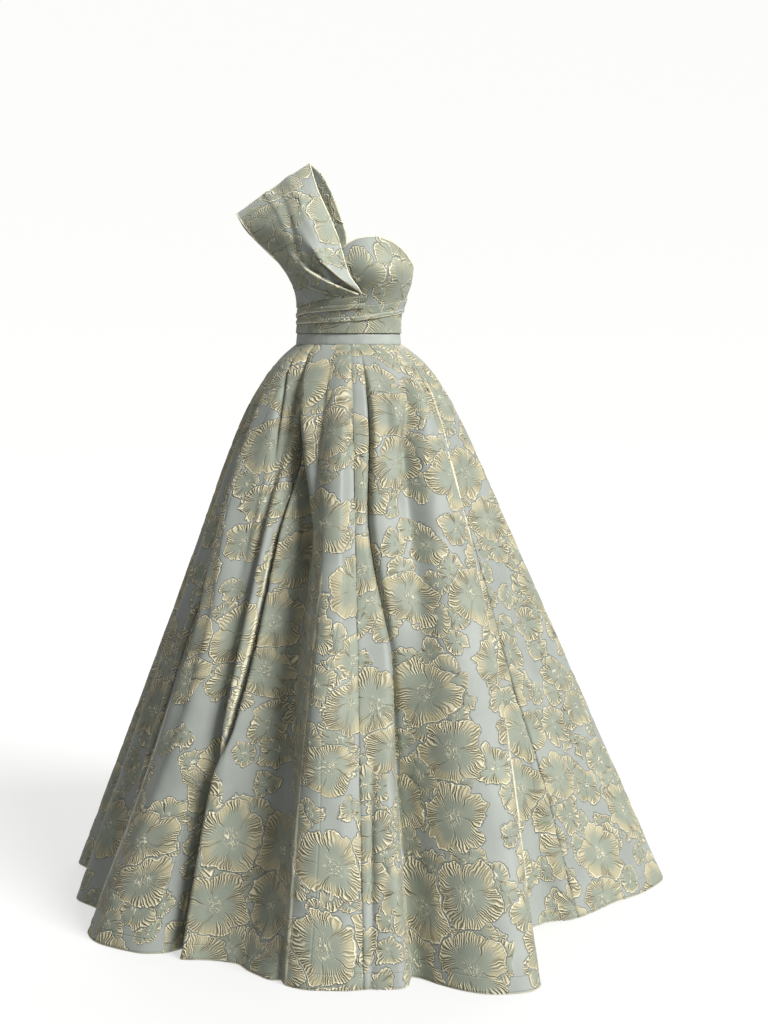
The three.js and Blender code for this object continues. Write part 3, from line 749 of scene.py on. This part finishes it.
def flower_kind(tree, place, flower, seed):
    """One kind of flower: how far in from its outline a place is, and where in the flower, in millimetres."""
    add = partial(add_node, tree)
    scaled = add(VECTOR, place, (1 / flower.cell,) * 3, (*flower.shift, 0), operation="MULTIPLY_ADD")
    cells = {"voronoi_dimensions": "2D", "sockets": {"Scale": 1.0, "Randomness": flower.stray}}
    nearest = add(VORONOI, scaled, feature="F1", **cells)
    chance = add(SPLIT, nearest.outputs["Color"])
    from_centre = add(VECTOR, scaled, nearest.outputs["Position"], operation="SUBTRACT")
    in_mm = add(VECTOR, from_centre, sockets={"Scale": flower.cell}, operation="SCALE")
    turn = add(MATH, chance.outputs[0], 2 * math.pi, operation="MULTIPLY")
    turned = add("ShaderNodeVectorRotate", in_mm, sockets={"Angle": turn}, rotation_type="Z_AXIS")
    stretch = add(MATH, chance.outputs[1], OVAL.more, OVAL.least, operation="MULTIPLY_ADD")
    oval = add(JOIN, 1.0, stretch, 0.0)
    local = add(VECTOR, turned, oval, operation="MULTIPLY")
    radius = add(VECTOR, local, operation="LENGTH").outputs["Value"]
    heading = add(VECTOR, local, operation="NORMALIZE")
    random_place = add(VECTOR, nearest.outputs["Color"], (40.0, 23.0, 31.0 + seed), operation="MULTIPLY")
    wander = add(VECTOR, heading, (1.25, 1.25, 0), random_place, operation="MULTIPLY_ADD")
    waves = add(NOISE, wander, sockets={"Scale": 1.0, "Detail": 3.0, "Roughness": 0.62})
    parts = add(SPLIT, heading)
    angle = add(MATH, parts.outputs[1], parts.outputs[0], operation="ARCTAN2")
    half_turns = add(MATH, angle, flower.petals / 2, operation="MULTIPLY")
    between = add(MATH, half_turns, operation="SINE")
    between = add(MATH, between, operation="ABSOLUTE")
    lobes = add(MATH, between, PETAL.power, operation="POWER")
    reach = add(MATH, lobes, PETAL.bulge, PETAL.plain, operation="MULTIPLY_ADD")
    reach = add(MATH, waves.outputs[0], PETAL.wander, reach, operation="MULTIPLY_ADD")
    reach = add(MATH, reach, flower.radius, operation="MULTIPLY")
    inside = add(MATH, reach, radius, operation="SUBTRACT")
    absent = add(MATH, chance.outputs[2], flower.share, operation="GREATER_THAN")
    inside = add(MATH, absent, -EMPTY, inside, operation="MULTIPLY_ADD")
    petal_line = add(MATH, between, radius, operation="MULTIPLY")
    petal_line = add(MATH, petal_line, 2 / flower.petals, operation="MULTIPLY")
    return {
        "inside": inside.outputs[0],
        "local": local.outputs[0],
        "size": flower.radius,
        "random": random_place.outputs[0],
        "petal": petal_line.outputs[0],
    }, cells, scaled


def flower_on_top(tree, flat):
    """Fields of the flower that shows at each place of the cloth, from the flat pattern in metres."""
    add = partial(add_node, tree)
    in_mm = add(VECTOR, flat, (1000, 1000, 0), operation="MULTIPLY")
    sway = add(NOISE, in_mm, sockets={"Scale": 0.022, "Detail": 2.0}, noise_dimensions="2D")
    sway = add(VECTOR, sway.outputs["Color"], (-0.5, -0.5, -0.5), operation="ADD")
    place = add(VECTOR, sway, (SWAY, SWAY, 0), in_mm, operation="MULTIPLY_ADD")
    shown = None
    for seed, flower in enumerate(FLOWERS):
        fields, cells, scaled = flower_kind(tree, place, flower, seed)
        if flower is FLOWERS[-1]:
            # The largest flowers grow until they meet, with a narrow dip between them
            border = add(VORONOI, scaled, feature="DISTANCE_TO_EDGE", **cells)
            border = add(MATH, border, flower.cell, -BORDER_GAP, operation="MULTIPLY_ADD")
            fields["inside"] = add(MATH, fields["inside"], border, operation="MINIMUM").outputs[0]
        if shown is None:
            shown = fields
            continue
        above = add(MATH, fields["inside"], -HIDE_ROUND, operation="GREATER_THAN")
        for key in ("inside", "size", "petal"):
            shown[key] = add(MIX, sockets={0: above, 2: shown[key], 3: fields[key]}).outputs[0]
        for key in ("local", "random"):
            mixed = add(MIX, sockets={0: above, 4: shown[key], 5: fields[key]}, data_type="VECTOR")
            shown[key] = mixed.outputs[1]
    shown["in_mm"] = in_mm.outputs[0]
    return shown


def puff_group():
    """Geometry nodes that lift each flower of the brocade off its ground, like a shallow pillow."""
    tree = bpy.data.node_groups.new("Woven flower puff", "GeometryNodeTree")
    add = partial(add_node, tree)
    tree.interface.new_socket("Geometry", in_out="INPUT", socket_type="NodeSocketGeometry")
    tree.interface.new_socket("Geometry", in_out="OUTPUT", socket_type="NodeSocketGeometry")
    start = tree.nodes.new("NodeGroupInput")
    finish = tree.nodes.new("NodeGroupOutput")
    flat = add("GeometryNodeInputNamedAttribute", "Flat", data_type="FLOAT_VECTOR")
    shown = flower_on_top(tree, flat)
    soft = add(RANGE, shown["inside"], -1.0, 11.0, 0.0, 1.0, **SOFT)
    puff = bpy.context.scene.gown_cloth.puff
    height = add(MATH, soft, puff, operation="MULTIPLY")
    dimple = add(NOISE, shown["in_mm"], sockets={"Scale": 0.03, "Detail": 1.0}, noise_dimensions="2D")
    height = add(MATH, dimple, puff, height, operation="MULTIPLY_ADD")
    normal = add("GeometryNodeInputNormal")
    lift = add(VECTOR, normal, sockets={"Scale": height.outputs[0]}, operation="SCALE")
    moved = add("GeometryNodeSetPosition", start, sockets={"Offset": lift})
    tree.links.new(moved.outputs[0], finish.inputs[0])
    return tree


def new_material(name):
    made = bpy.data.materials.new(name)
    made.use_nodes = True
    made.node_tree.nodes.clear()
    return made, made.node_tree


def brocade():
    """Cloque brocade: a blue-grey satin ground with puffed, gathered flowers edged in pale gilt thread.
    To the eye the ground is smooth with a broad soft shine, and the rims are duller, crimped and warm."""
    look = bpy.context.scene.gown_colours
    material, tree = new_material("Jacquard cloque brocade")
    add = partial(add_node, tree)
    flat = add("ShaderNodeUVMap", uv_map="Flat")
    shown = flower_on_top(tree, flat)
    inside, local, size = shown["inside"], shown["local"], shown["size"]
    radius = add(VECTOR, local, operation="LENGTH").outputs["Value"]
    heading = add(VECTOR, local, operation="NORMALIZE")
    in_flower = add(RANGE, inside, -0.6, 0.6, 0.0, 1.0, **SOFT)

    # Above the waist the cloth is cut from its calmer part, smoother and less gilt
    place = add("ShaderNodeTexCoord").outputs["Object"]
    rise = add(SPLIT, place).outputs[2]
    calm = add(RANGE, rise, -0.01, 0.02, 1.0, CALM)

    # Depth from the outline to the heart, 0 to 1
    deep = add(MATH, inside, size, operation="DIVIDE")
    rim_fade = add(RANGE, deep, 0.05, 0.46, 1.0, 0.0, **SOFT)
    rim_fade = add(MATH, rim_fade, calm, operation="MULTIPLY")

    # Gathers that run out to the rim, strong in some places and faint in others
    coarse = add(VECTOR, heading, (1.6, 1.6, 0), shown["random"], operation="MULTIPLY_ADD")
    patches = add(NOISE, coarse, sockets={"Scale": 1.3, "Detail": 1.0})
    parts = add(SPLIT, heading)
    angle = add(MATH, parts.outputs[1], parts.outputs[0], operation="ARCTAN2")
    count = add(MATH, size, GATHERS_PER_SIZE, operation="MULTIPLY")
    phase = add(MATH, angle, count, operation="MULTIPLY")
    slow = add(MATH, radius, 0.03, operation="MULTIPLY")
    bend = add(JOIN, 0.0, 0.0, slow)
    bend = add(VECTOR, heading, (5, 5, 0), bend, operation="MULTIPLY_ADD")
    bend = add(NOISE, bend, sockets={"Scale": 1.0, "Detail": 1.0})
    phase = add(MATH, bend, 9.0, phase, operation="MULTIPLY_ADD")
    gathers = add(MATH, phase, operation="SINE")
    strong = add(RANGE, patches, 0.38, 0.56, 0.12, 1.0)
    gather_fade = add(RANGE, deep, 0.14, 0.52, 1.0, 0.0, **SOFT)
    for share in (gather_fade, strong, calm, in_flower):
        gathers = add(MATH, gathers, share, operation="MULTIPLY")

    # The outline's gilt cord, and the dip just outside it, which is sunk in the relief and darkened with
    # painted shade
    cord = line_at(tree, inside, 1.2, 1.6)
    dip = line_at(tree, inside, -1.1, 1.8)

    # Where one petal lies over the next: a groove in the relief, darkened with painted shade
    petal = add(RANGE, shown["petal"], 0.4, 2.2, 1.0, 0.0, **SOFT)
    outer_half = add(RANGE, deep, 0.36, 0.52, 1.0, 0.0)
    for share in (outer_half, in_flower):
        petal = add(MATH, petal, share, operation="MULTIPLY")

    # Stamens: short pale stitches in the heart
    stitches = add(VECTOR, local, (0.30, 0.11, 0), shown["random"], operation="MULTIPLY_ADD")
    stitches = add(NOISE, stitches, sockets={"Scale": 1.0, "Detail": 0.0})
    stitches = add(MATH, stitches, 0.5, operation="SUBTRACT")
    stitches = add(MATH, stitches, operation="ABSOLUTE")
    stitches = add(RANGE, stitches, 0.02, 0.09, 1.0, 0.0)
    heart_size = add(MATH, size, 0.34, operation="MULTIPLY")
    near_heart = add(RANGE, radius, 3.0, heart_size, 1.0, 0.0, **SOFT)
    for share in (near_heart, in_flower):
        stitches = add(MATH, stitches, share, operation="MULTIPLY")

    floats = warp_floats(tree, shown["in_mm"])
    mottle = add(NOISE, shown["in_mm"], sockets={"Scale": 0.012, "Detail": 2.0}, noise_dimensions="2D")

    # Painted highlight on the crests of the gathers, in the cord colour, and painted shade in their troughs
    crest = add(RANGE, gathers, 0.1, 0.9, 0.0, 0.62)
    painted_gather_shade = add(RANGE, gathers, -0.15, -0.9, 0.0, 0.68)
    flower = layered(
        tree, (*look.heart, 1),
        (rim_fade, (*look.rim, 1)), (crest, (*look.cord, 1)), (painted_gather_shade, linear("#5E5B45")),
    )
    # Painted shade along the line where one petal lies over the next
    petal_shade = add(MATH, petal, 0.45, operation="MULTIPLY")
    # Painted shade in the dip round each flower, stronger in some patches than in others
    uneven = add(RANGE, patches, 0.36, 0.60, 0.12, 0.55)
    dip_shade = add(MATH, dip, uneven, operation="MULTIPLY")
    colour = layered(
        tree, (*look.ground, 1),
        (in_flower, flower), (petal_shade, linear("#77745A")), (dip_shade, linear("#5F5F4C")),
    )
    pale = add(MATH, cord, stitches, operation="MAXIMUM")
    pale = add(MATH, pale, 0.85, operation="MULTIPLY")

    # Finished edges are folded over, and their folds and the pressed crests get a painted highlight as a fine
    # pale line; the hem's stitches show as a line sunk in the relief
    from_edge = add("ShaderNodeAttribute", attribute_name="From edge").outputs["Fac"]
    painted_fold_highlight = add(RANGE, from_edge, 0.8, 3.0, 0.8, 0.0, **SOFT)
    pale = add(MATH, pale, painted_fold_highlight, operation="MAXIMUM")
    hem_line = line_at(tree, from_edge, HEM_TURN / MM, 1.8)
    colour = layered(tree, colour, (pale, (*look.cord, 1)))
    tone = add(RANGE, mottle, 0.3, 0.7, 0.93, 1.06)
    lighter = add(RANGE, calm, CALM, 1.0, CALM_LIFT, 1.0)
    tone = add(MATH, tone, lighter, operation="MULTIPLY")
    colour = add(VECTOR, colour, sockets={"Scale": tone.outputs[0]}, operation="SCALE")

    # Painted shade: little light comes back out of a deep fold, so the cloth there is darkened
    painted_fold_shade = add("ShaderNodeAttribute", attribute_name="In fold").outputs["Fac"]
    painted_fold_shade = add(MATH, painted_fold_shade, FOLD_DARK, operation="MULTIPLY")
    colour = layered(tree, colour, (painted_fold_shade, linear("#26261F")))

    # Height in millimetres
    height = add(MATH, in_flower, 0.55, operation="MULTIPLY")
    relief = (
        (cord, 1.0), (dip, -1.0), (gathers, 1.35), (petal, -0.9), (stitches, 1.5), (floats, 0.05),
        (hem_line, -0.5),
    )
    for part, amount in relief:
        height = add(MATH, part, amount, height, operation="MULTIPLY_ADD")
    bump = add("ShaderNodeBump", sockets={"Strength": 1.0, "Distance": MM, "Height": height})

    rough = add(RANGE, in_flower, 0.0, 1.0, 0.50, 0.56)
    rough = add(MATH, floats, 0.10, rough, operation="MULTIPLY_ADD")
    shader = add(
        "ShaderNodeBsdfPrincipled",
        sockets={
            "Base Color": colour, "Roughness": rough, "Normal": bump, "Metallic": 0.0, "IOR": 1.5,
            "Specular IOR Level": 0.4, "Sheen Weight": 0.15, "Sheen Roughness": 0.4,
        },
    )
    add("ShaderNodeOutputMaterial", shader)
    return material


def satin():
    """Plain duchesse satin, as the brocade's ground: smooth and heavy, with a broad soft shine."""
    material, tree = new_material("Duchesse satin")
    add = partial(add_node, tree)
    flat = add("ShaderNodeUVMap", uv_map="Flat")
    in_mm = add(VECTOR, flat, (1000, 1000, 0), operation="MULTIPLY")
    floats = warp_floats(tree, in_mm)
    puckers = add(VECTOR, in_mm, (0.03, 0.02, 0), operation="MULTIPLY")
    puckers = add(NOISE, puckers, sockets={"Scale": 1.0, "Detail": 2.0}, noise_dimensions="2D")
    tone = add(RANGE, puckers, 0.3, 0.7, 0.92, 1.06)
    ground = [SATIN_LIFT * part for part in bpy.context.scene.gown_colours.ground]
    colour = add(VECTOR, ground, sockets={"Scale": tone.outputs[0]}, operation="SCALE")
    height = add(MATH, puckers, 2.2, operation="MULTIPLY")
    height = add(MATH, floats, 0.08, height, operation="MULTIPLY_ADD")
    bump = add("ShaderNodeBump", sockets={"Strength": 1.0, "Distance": MM, "Height": height})
    rough = add(RANGE, floats, 0.3, 0.7, 0.44, 0.56)
    shader = add(
        "ShaderNodeBsdfPrincipled",
        sockets={"Base Color": colour, "Roughness": rough, "Normal": bump, "IOR": 1.5, "Sheen Weight": 0.15},
    )
    add("ShaderNodeOutputMaterial", shader)
    return material


def nickel():
    """Nickel-plated die-cast zinc: a warm pale metal with a soft brushed shine and faint handling marks."""
    material, tree = new_material("Nickel-plated zinc")
    add = partial(add_node, tree)
    place = add("ShaderNodeTexCoord").outputs["Object"]
    marks = add(VECTOR, place, (900, 900, 120), operation="MULTIPLY")
    marks = add(NOISE, marks, sockets={"Scale": 1.0, "Detail": 3.0})
    colour = layered(tree, linear("#B9BCBE"), (marks, linear("#D6D4CE")))
    rough = add(RANGE, marks, 0.3, 0.7, 0.20, 0.38)
    bump = add("ShaderNodeBump", sockets={"Strength": 0.4, "Distance": 0.05 * MM, "Height": marks})
    shader = add(
        "ShaderNodeBsdfPrincipled",
        sockets={"Base Color": colour, "Roughness": rough, "Normal": bump, "Metallic": 1.0},
    )
    add("ShaderNodeOutputMaterial", shader)
    return material


def shared(name, make):
    """A material or node group that is made once and then used again."""
    key = f"gown {name}"
    for store in (bpy.data.materials, bpy.data.node_groups):
        for kept in store:
            if kept.get("gown_key") == key:
                return kept
    made = make()
    made["gown_key"] = key
    return made


def cloth_panel(
    name, points, flat, cut_at, outward, finished=(), edge_reach=20 * MM, plain=False, folds=None
):
    """A cloth panel: a grid laid on its points, with its flat pattern as UV map, its relief and its wall.
    It also holds how far each place is from a finished edge, up to a reach, and the painted shade in its
    folds."""
    columns, rows = points.shape[0] - 1, points.shape[1] - 1
    bm = bmesh.new()
    bmesh.ops.create_grid(bm, x_segments=columns, y_segments=rows, size=0.5)
    if outward < 0:
        bmesh.ops.reverse_faces(bm, faces=bm.faces)
    mesh = bpy.data.meshes.new(name + "_cloth")
    bm.to_mesh(mesh)
    bm.free()
    corners = np.empty(3 * len(mesh.vertices))
    mesh.vertices.foreach_get("co", corners)
    i = np.rint((corners[0::3] + 0.5) * columns).astype(int)
    j = np.rint((corners[1::3] + 0.5) * rows).astype(int)
    mesh.vertices.foreach_set("co", points[i, j].ravel())
    loops = np.empty(len(mesh.loops), int)
    mesh.loops.foreach_get("vertex_index", loops)
    middle = (flat.reshape(-1, 2).min(axis=0) + flat.reshape(-1, 2).max(axis=0)) / 2
    on_cloth = flat - middle + np.array(cut_at)
    layer = mesh.uv_layers.new(name="Flat")
    layer.data.foreach_set("uv", on_cloth[i, j][loops].ravel())
    away = away_from_ends(points)
    from_edge = np.minimum.reduce([np.full(points.shape[:2], edge_reach), *(away[edge] for edge in finished)])
    # Pressed crests count as edges here, so they get the same painted highlight line
    if folds:
        from_edge = np.minimum(from_edge, folds[0])
        fold_shade_layer = mesh.attributes.new("In fold", "FLOAT", "POINT")
        fold_shade_layer.data.foreach_set("value", folds[1][i, j])
    edge_layer = mesh.attributes.new("From edge", "FLOAT", "POINT")
    edge_layer.data.foreach_set("value", from_edge[i, j] / MM)
    mesh.shade_smooth()
    mesh.update()
    piece = bpy.data.objects.new(name + "_cloth", mesh)
    bpy.context.scene.collection.objects.link(piece)
    mesh.materials.append(shared("satin", satin) if plain else shared("brocade", brocade))
    if not plain:
        relief = piece.modifiers.new("Woven relief", "NODES")
        relief.node_group = shared("puff", puff_group)
    wall = piece.modifiers.new("Cloth wall", "SOLIDIFY")
    wall.thickness = bpy.context.scene.gown_cloth.thickness
    wall.offset = 0
    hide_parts(name)
    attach(piece, "gown")
    return piece


def roll_edges(points, roll, ends):
    """Rolls chosen edges of a panel's points along its normals: ends gives first and last column and row."""
    normal = edge_normals(points)
    away = away_from_ends(points)
    total = sum(roll.depth * np.exp(-((away[edge] / roll.width) ** 2)) for edge in ends)
    return points + normal * total[..., None]


class GOWN_OT_skirt(bpy.types.Operator):
    """Six gores with deep soft folds, from the waist seam to the hem"""

    bl_idname = "gown.skirt"
    bl_label = "Skirt gores"

    def execute(self, context):
        for gore in GORES:
            fineness = FRONT_GORE_GRID if "front" in gore.name else GORE_GRID
            angles = even_steps(skirt_point, gore.start, gore.end, fineness.columns, GORE_EVEN_AT)
            falls = np.linspace(0, 1, fineness.rows + 1) ** GORE_CROWDING
            points = skirt_point(*np.meshgrid(angles, falls, indexing="ij"))
            flat = flat_gore(points)
            points = roll_edges(points, SEAM_ROLL, SIDES)
            folds = skirt_folds(points, angles, falls)
            cloth_panel(
                gore.name, points, flat, gore.cut_at, -1, ("last_row",), 2 * HEM_TURN, folds=folds
            )
        return {"FINISHED"}


class GOWN_OT_bodice(bpy.types.Operator):
    """Fitted bodice of two fronts and two backs"""

    bl_idname = "gown.bodice"
    bl_label = "Bodice panels"

    def execute(self, context):
        for part in BODICE_PARTS:
            angles = np.linspace(part.start, part.end, BODICE_GRID.columns + 1)
            rises = np.linspace(0, 1, BODICE_GRID.rows + 1)
            points = bodice_point(*np.meshgrid(angles, rises, indexing="ij"))
            flat = flat_strip(points)
            points = roll_edges(points, BODICE_SEAM_ROLL, SIDES)
            points = roll_edges(points, BODICE_TOP_ROLL, ("last_row",))
            cloth_panel(part.name, points, flat, part.cut_at, 1, ("last_row",))
        return {"FINISHED"}


class GOWN_OT_midriff(bpy.types.Operator):
    """Three pleats wrapped round the front of the midriff"""

    bl_idname = "gown.midriff"
    bl_label = "Midriff pleats"

    def execute(self, context):
        for pleat in MIDRIFF_PLEATS:
            low = column(pleat.edges, "angle", "low")
            high = column(pleat.edges, "angle", "high")
            angles = np.linspace(pleat.edges[0].angle, pleat.edges[-1].angle, PLEAT_GRID.columns + 1)
            angle, share = np.meshgrid(angles, np.linspace(0, 1, PLEAT_GRID.rows + 1), indexing="ij")
            width = high(angle) - low(angle)
            up = width * share
            tuck = smooth((up - PLEAT_LAP) / (PLEAT_TUCK - PLEAT_LAP))
            ease = smooth((PLEAT_SIDE - np.abs(angle)) / PLEAT_EASE.over)
            step = PLEAT_STEP * (PLEAT_EASE.least + (1 - PLEAT_EASE.least) * ease)
            out = step * (pleat.layer - (pleat.layer - 1) * tuck)
            fade = smooth((PLEAT_ROLL.end - angle) / PLEAT_ROLL.fade)
            grow = smooth((angle - PLEAT_ROLL.start) / PLEAT_ROLL.grow)
            roll = np.exp(-((up / PLEAT_ROLL.width - PLEAT_ROLL.crest) ** 2)) * fade * grow
            out = out + PLEAT_ROLL.height * roll * (pleat.layer - 1)
            out = out + PLEAT_EASE.belly * np.sin(math.pi * share) ** 0.8
            points = torso_point(angle, low(angle) + up, out)
            flat = flat_strip(points)
            edges = ("first_row",) if pleat.layer > 1 else ()
            cloth_panel(pleat.name, points, flat, pleat.cut_at, 1, edges)
        return {"FINISHED"}


class GOWN_OT_waistband(bpy.types.Operator):
    """Plain band between the bodice and the skirt"""

    bl_idname = "gown.waistband"
    bl_label = "Waistband"

    def execute(self, context):
        for part in BAND_PARTS:
            angles = np.linspace(part.start, part.end, BAND_GRID.columns + 1)
            heights = np.linspace(SEAM_GAP, BAND_TOP, BAND_GRID.rows + 1)
            points = torso_point(*np.meshgrid(angles, heights, indexing="ij"), BAND_RISE)
            flat = flat_strip(points)
            points = roll_edges(points, BAND_ROLL, ("first_row", "last_row"))
            cloth_panel(part.name, points, flat, part.cut_at, 1, plain=True)
        return {"FINISHED"}


class GOWN_OT_shoulder_drape(bpy.types.Operator):
    """Pleated drape from the midriff over one shoulder to the back"""

    bl_idname = "gown.shoulder_drape"
    bl_label = "Shoulder drape"

    def execute(self, context):
        across = np.linspace(0, 1, DRAPE_GRID.columns + 1)
        runs = np.linspace(0, 1, DRAPE_GRID.rows + 1)
        points = drape_point(*np.meshgrid(across, runs, indexing="ij"))
        folds = drape_folds(points, across, runs)
        flat = flat_strip(points)
        points = roll_edges(points, DRAPE_ROLL, SIDES)
        cloth_panel("shoulder_drape", points, flat, DRAPE_CUT_AT, -1, SIDES, folds=folds)
        return {"FINISHED"}


class GOWN_OT_zip(bpy.types.Operator):
    """Finish of the zip's slider and pull tab"""

    bl_idname = "gown.zip"
    bl_label = "Zip"

    def execute(self, context):
        for name in ("zip_slider", "zip_pull"):
            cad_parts[name].material_slots[0].material = shared("nickel", nickel)
        return {"FINISHED"}


class GOWN_OT_stage(bpy.types.Operator):
    """Pale studio floor, soft lights and the camera"""

    bl_idname = "gown.stage"
    bl_label = "Studio stage"

    def execute(self, context):
        studio = context.scene.gown_studio
        self.make_floor(studio)
        world = bpy.data.worlds.new("Soft studio surround")
        world.use_nodes = True
        surround = world.node_tree.nodes["Background"].inputs
        surround["Color"].default_value = linear("#F6F6F6")
        surround["Strength"].default_value = WORLD_LIGHT
        context.scene.world = world
        context.scene.view_settings.view_transform = "Standard"
        for light in LIGHTS:
            self.make_light(light, getattr(studio, light.power))
        camera = bpy.data.cameras.new("Camera")
        camera.lens = CAMERA.lens
        camera.sensor_width = CAMERA.sensor
        holder = bpy.data.objects.new("Camera", camera)
        holder.location = CAMERA.place
        holder.rotation_euler = (math.radians(CAMERA.tilt), 0, 0)
        context.scene.collection.objects.link(holder)
        context.scene.camera = holder
        return {"FINISHED"}

    def make_floor(self, studio):
        """A round floor, and round it a bright curved backdrop, so that no horizon shows."""
        turns = np.linspace(0, math.pi / 2, PAPER_STEPS + 1)
        curve = [(PAPER_REACH * (1 + math.sin(turn)), PAPER_REACH * (1 - math.cos(turn))) for turn in turns]
        for paper, outline in ((FLOOR_PAPER, [(0, 0), (PAPER_REACH, 0)]), (BACKDROP_PAPER, curve)):
            bm = bmesh.new()
            profile = [bm.verts.new((x, 0, z)) for x, z in outline]
            edges = [bm.edges.new(pair) for pair in zip(profile, profile[1:])]
            bmesh.ops.spin(
                bm, geom=[*profile, *edges], cent=(0, 0, 0), axis=(0, 0, 1), angle=2 * math.pi,
                steps=PAPER_SPIN_STEPS, use_merge=True,
            )
            bmesh.ops.remove_doubles(bm, verts=bm.verts, dist=PAPER_GAP)
            bmesh.ops.translate(bm, verts=bm.verts, vec=(0, 0, -SKIRT_LENGTH - PAPER_GAP))
            bmesh.ops.recalc_face_normals(bm, faces=bm.faces)
            if paper is FLOOR_PAPER:
                bmesh.ops.reverse_faces(bm, faces=[face for face in bm.faces if face.normal.z < 0])
            mesh = bpy.data.meshes.new(paper.name)
            bm.to_mesh(mesh)
            bm.free()
            mesh.shade_smooth()
            material, tree = new_material(paper.name + " paper")
            # The paper glows a little of itself, so that the gown's shadow on it stays pale
            sockets = {
                "Base Color": linear(paper.base), "Roughness": paper.rough,
                "Emission Color": (*studio.floor, 1), "Emission Strength": paper.glow,
            }
            shader = add_node(tree, "ShaderNodeBsdfPrincipled", sockets=sockets)
            add_node(tree, "ShaderNodeOutputMaterial", shader)
            mesh.materials.append(material)
            round_piece = bpy.data.objects.new(paper.name, mesh)
            bpy.context.scene.collection.objects.link(round_piece)
            # Neither paper lights the gown
            round_piece.visible_diffuse = False
            round_piece.visible_glossy = False
            round_piece.visible_shadow = paper.shadow

    def make_light(self, kind, strength):
        """A soft light from far off."""
        light = bpy.data.lights.new(kind.name, "SUN")
        light.energy = strength
        light.angle = math.radians(kind.spread)
        holder = bpy.data.objects.new(kind.name, light)
        holder.rotation_euler = (math.radians(90 - kind.height), 0, math.radians(kind.bearing))
        bpy.context.scene.collection.objects.link(holder)


OPERATORS = (
    GOWN_OT_skirt, GOWN_OT_bodice, GOWN_OT_midriff, GOWN_OT_waistband, GOWN_OT_shoulder_drape, GOWN_OT_zip,
    GOWN_OT_stage,
)


class GOWN_PT_panel(bpy.types.Panel):
    """Sidebar panel with the gown's pieces and settings"""

    bl_label = "Ball gown"
    bl_space_type = "VIEW_3D"
    bl_region_type = "UI"
    bl_category = "Gown"

    def draw(self, context):
        for group in (context.scene.gown_cloth, context.scene.gown_colours, context.scene.gown_studio):
            for name in group.bl_rna.properties.keys():
                if name not in ("rna_type", "name"):
                    self.layout.prop(group, name)
        for operator in OPERATORS:
            self.layout.operator(operator.bl_idname)


CLASSES = (ClothSizes, BrocadeColours, StudioSettings, *OPERATORS, GOWN_PT_panel)


def register():
    for made in CLASSES:
        bpy.utils.register_class(made)
    bpy.types.Scene.gown_cloth = bpy.props.PointerProperty(type=ClothSizes)
    bpy.types.Scene.gown_colours = bpy.props.PointerProperty(type=BrocadeColours)
    bpy.types.Scene.gown_studio = bpy.props.PointerProperty(type=StudioSettings)


def unregister():
    del bpy.types.Scene.gown_studio
    del bpy.types.Scene.gown_colours
    del bpy.types.Scene.gown_cloth
    for made in reversed(CLASSES):
        bpy.utils.unregister_class(made)


def main():
    register()
    bpy.ops.gown.stage()
    bpy.ops.gown.skirt()
    bpy.ops.gown.bodice()
    bpy.ops.gown.midriff()
    bpy.ops.gown.waistband()
    bpy.ops.gown.shoulder_drape()
    bpy.ops.gown.zip()


if __name__ == "__main__":
    main()
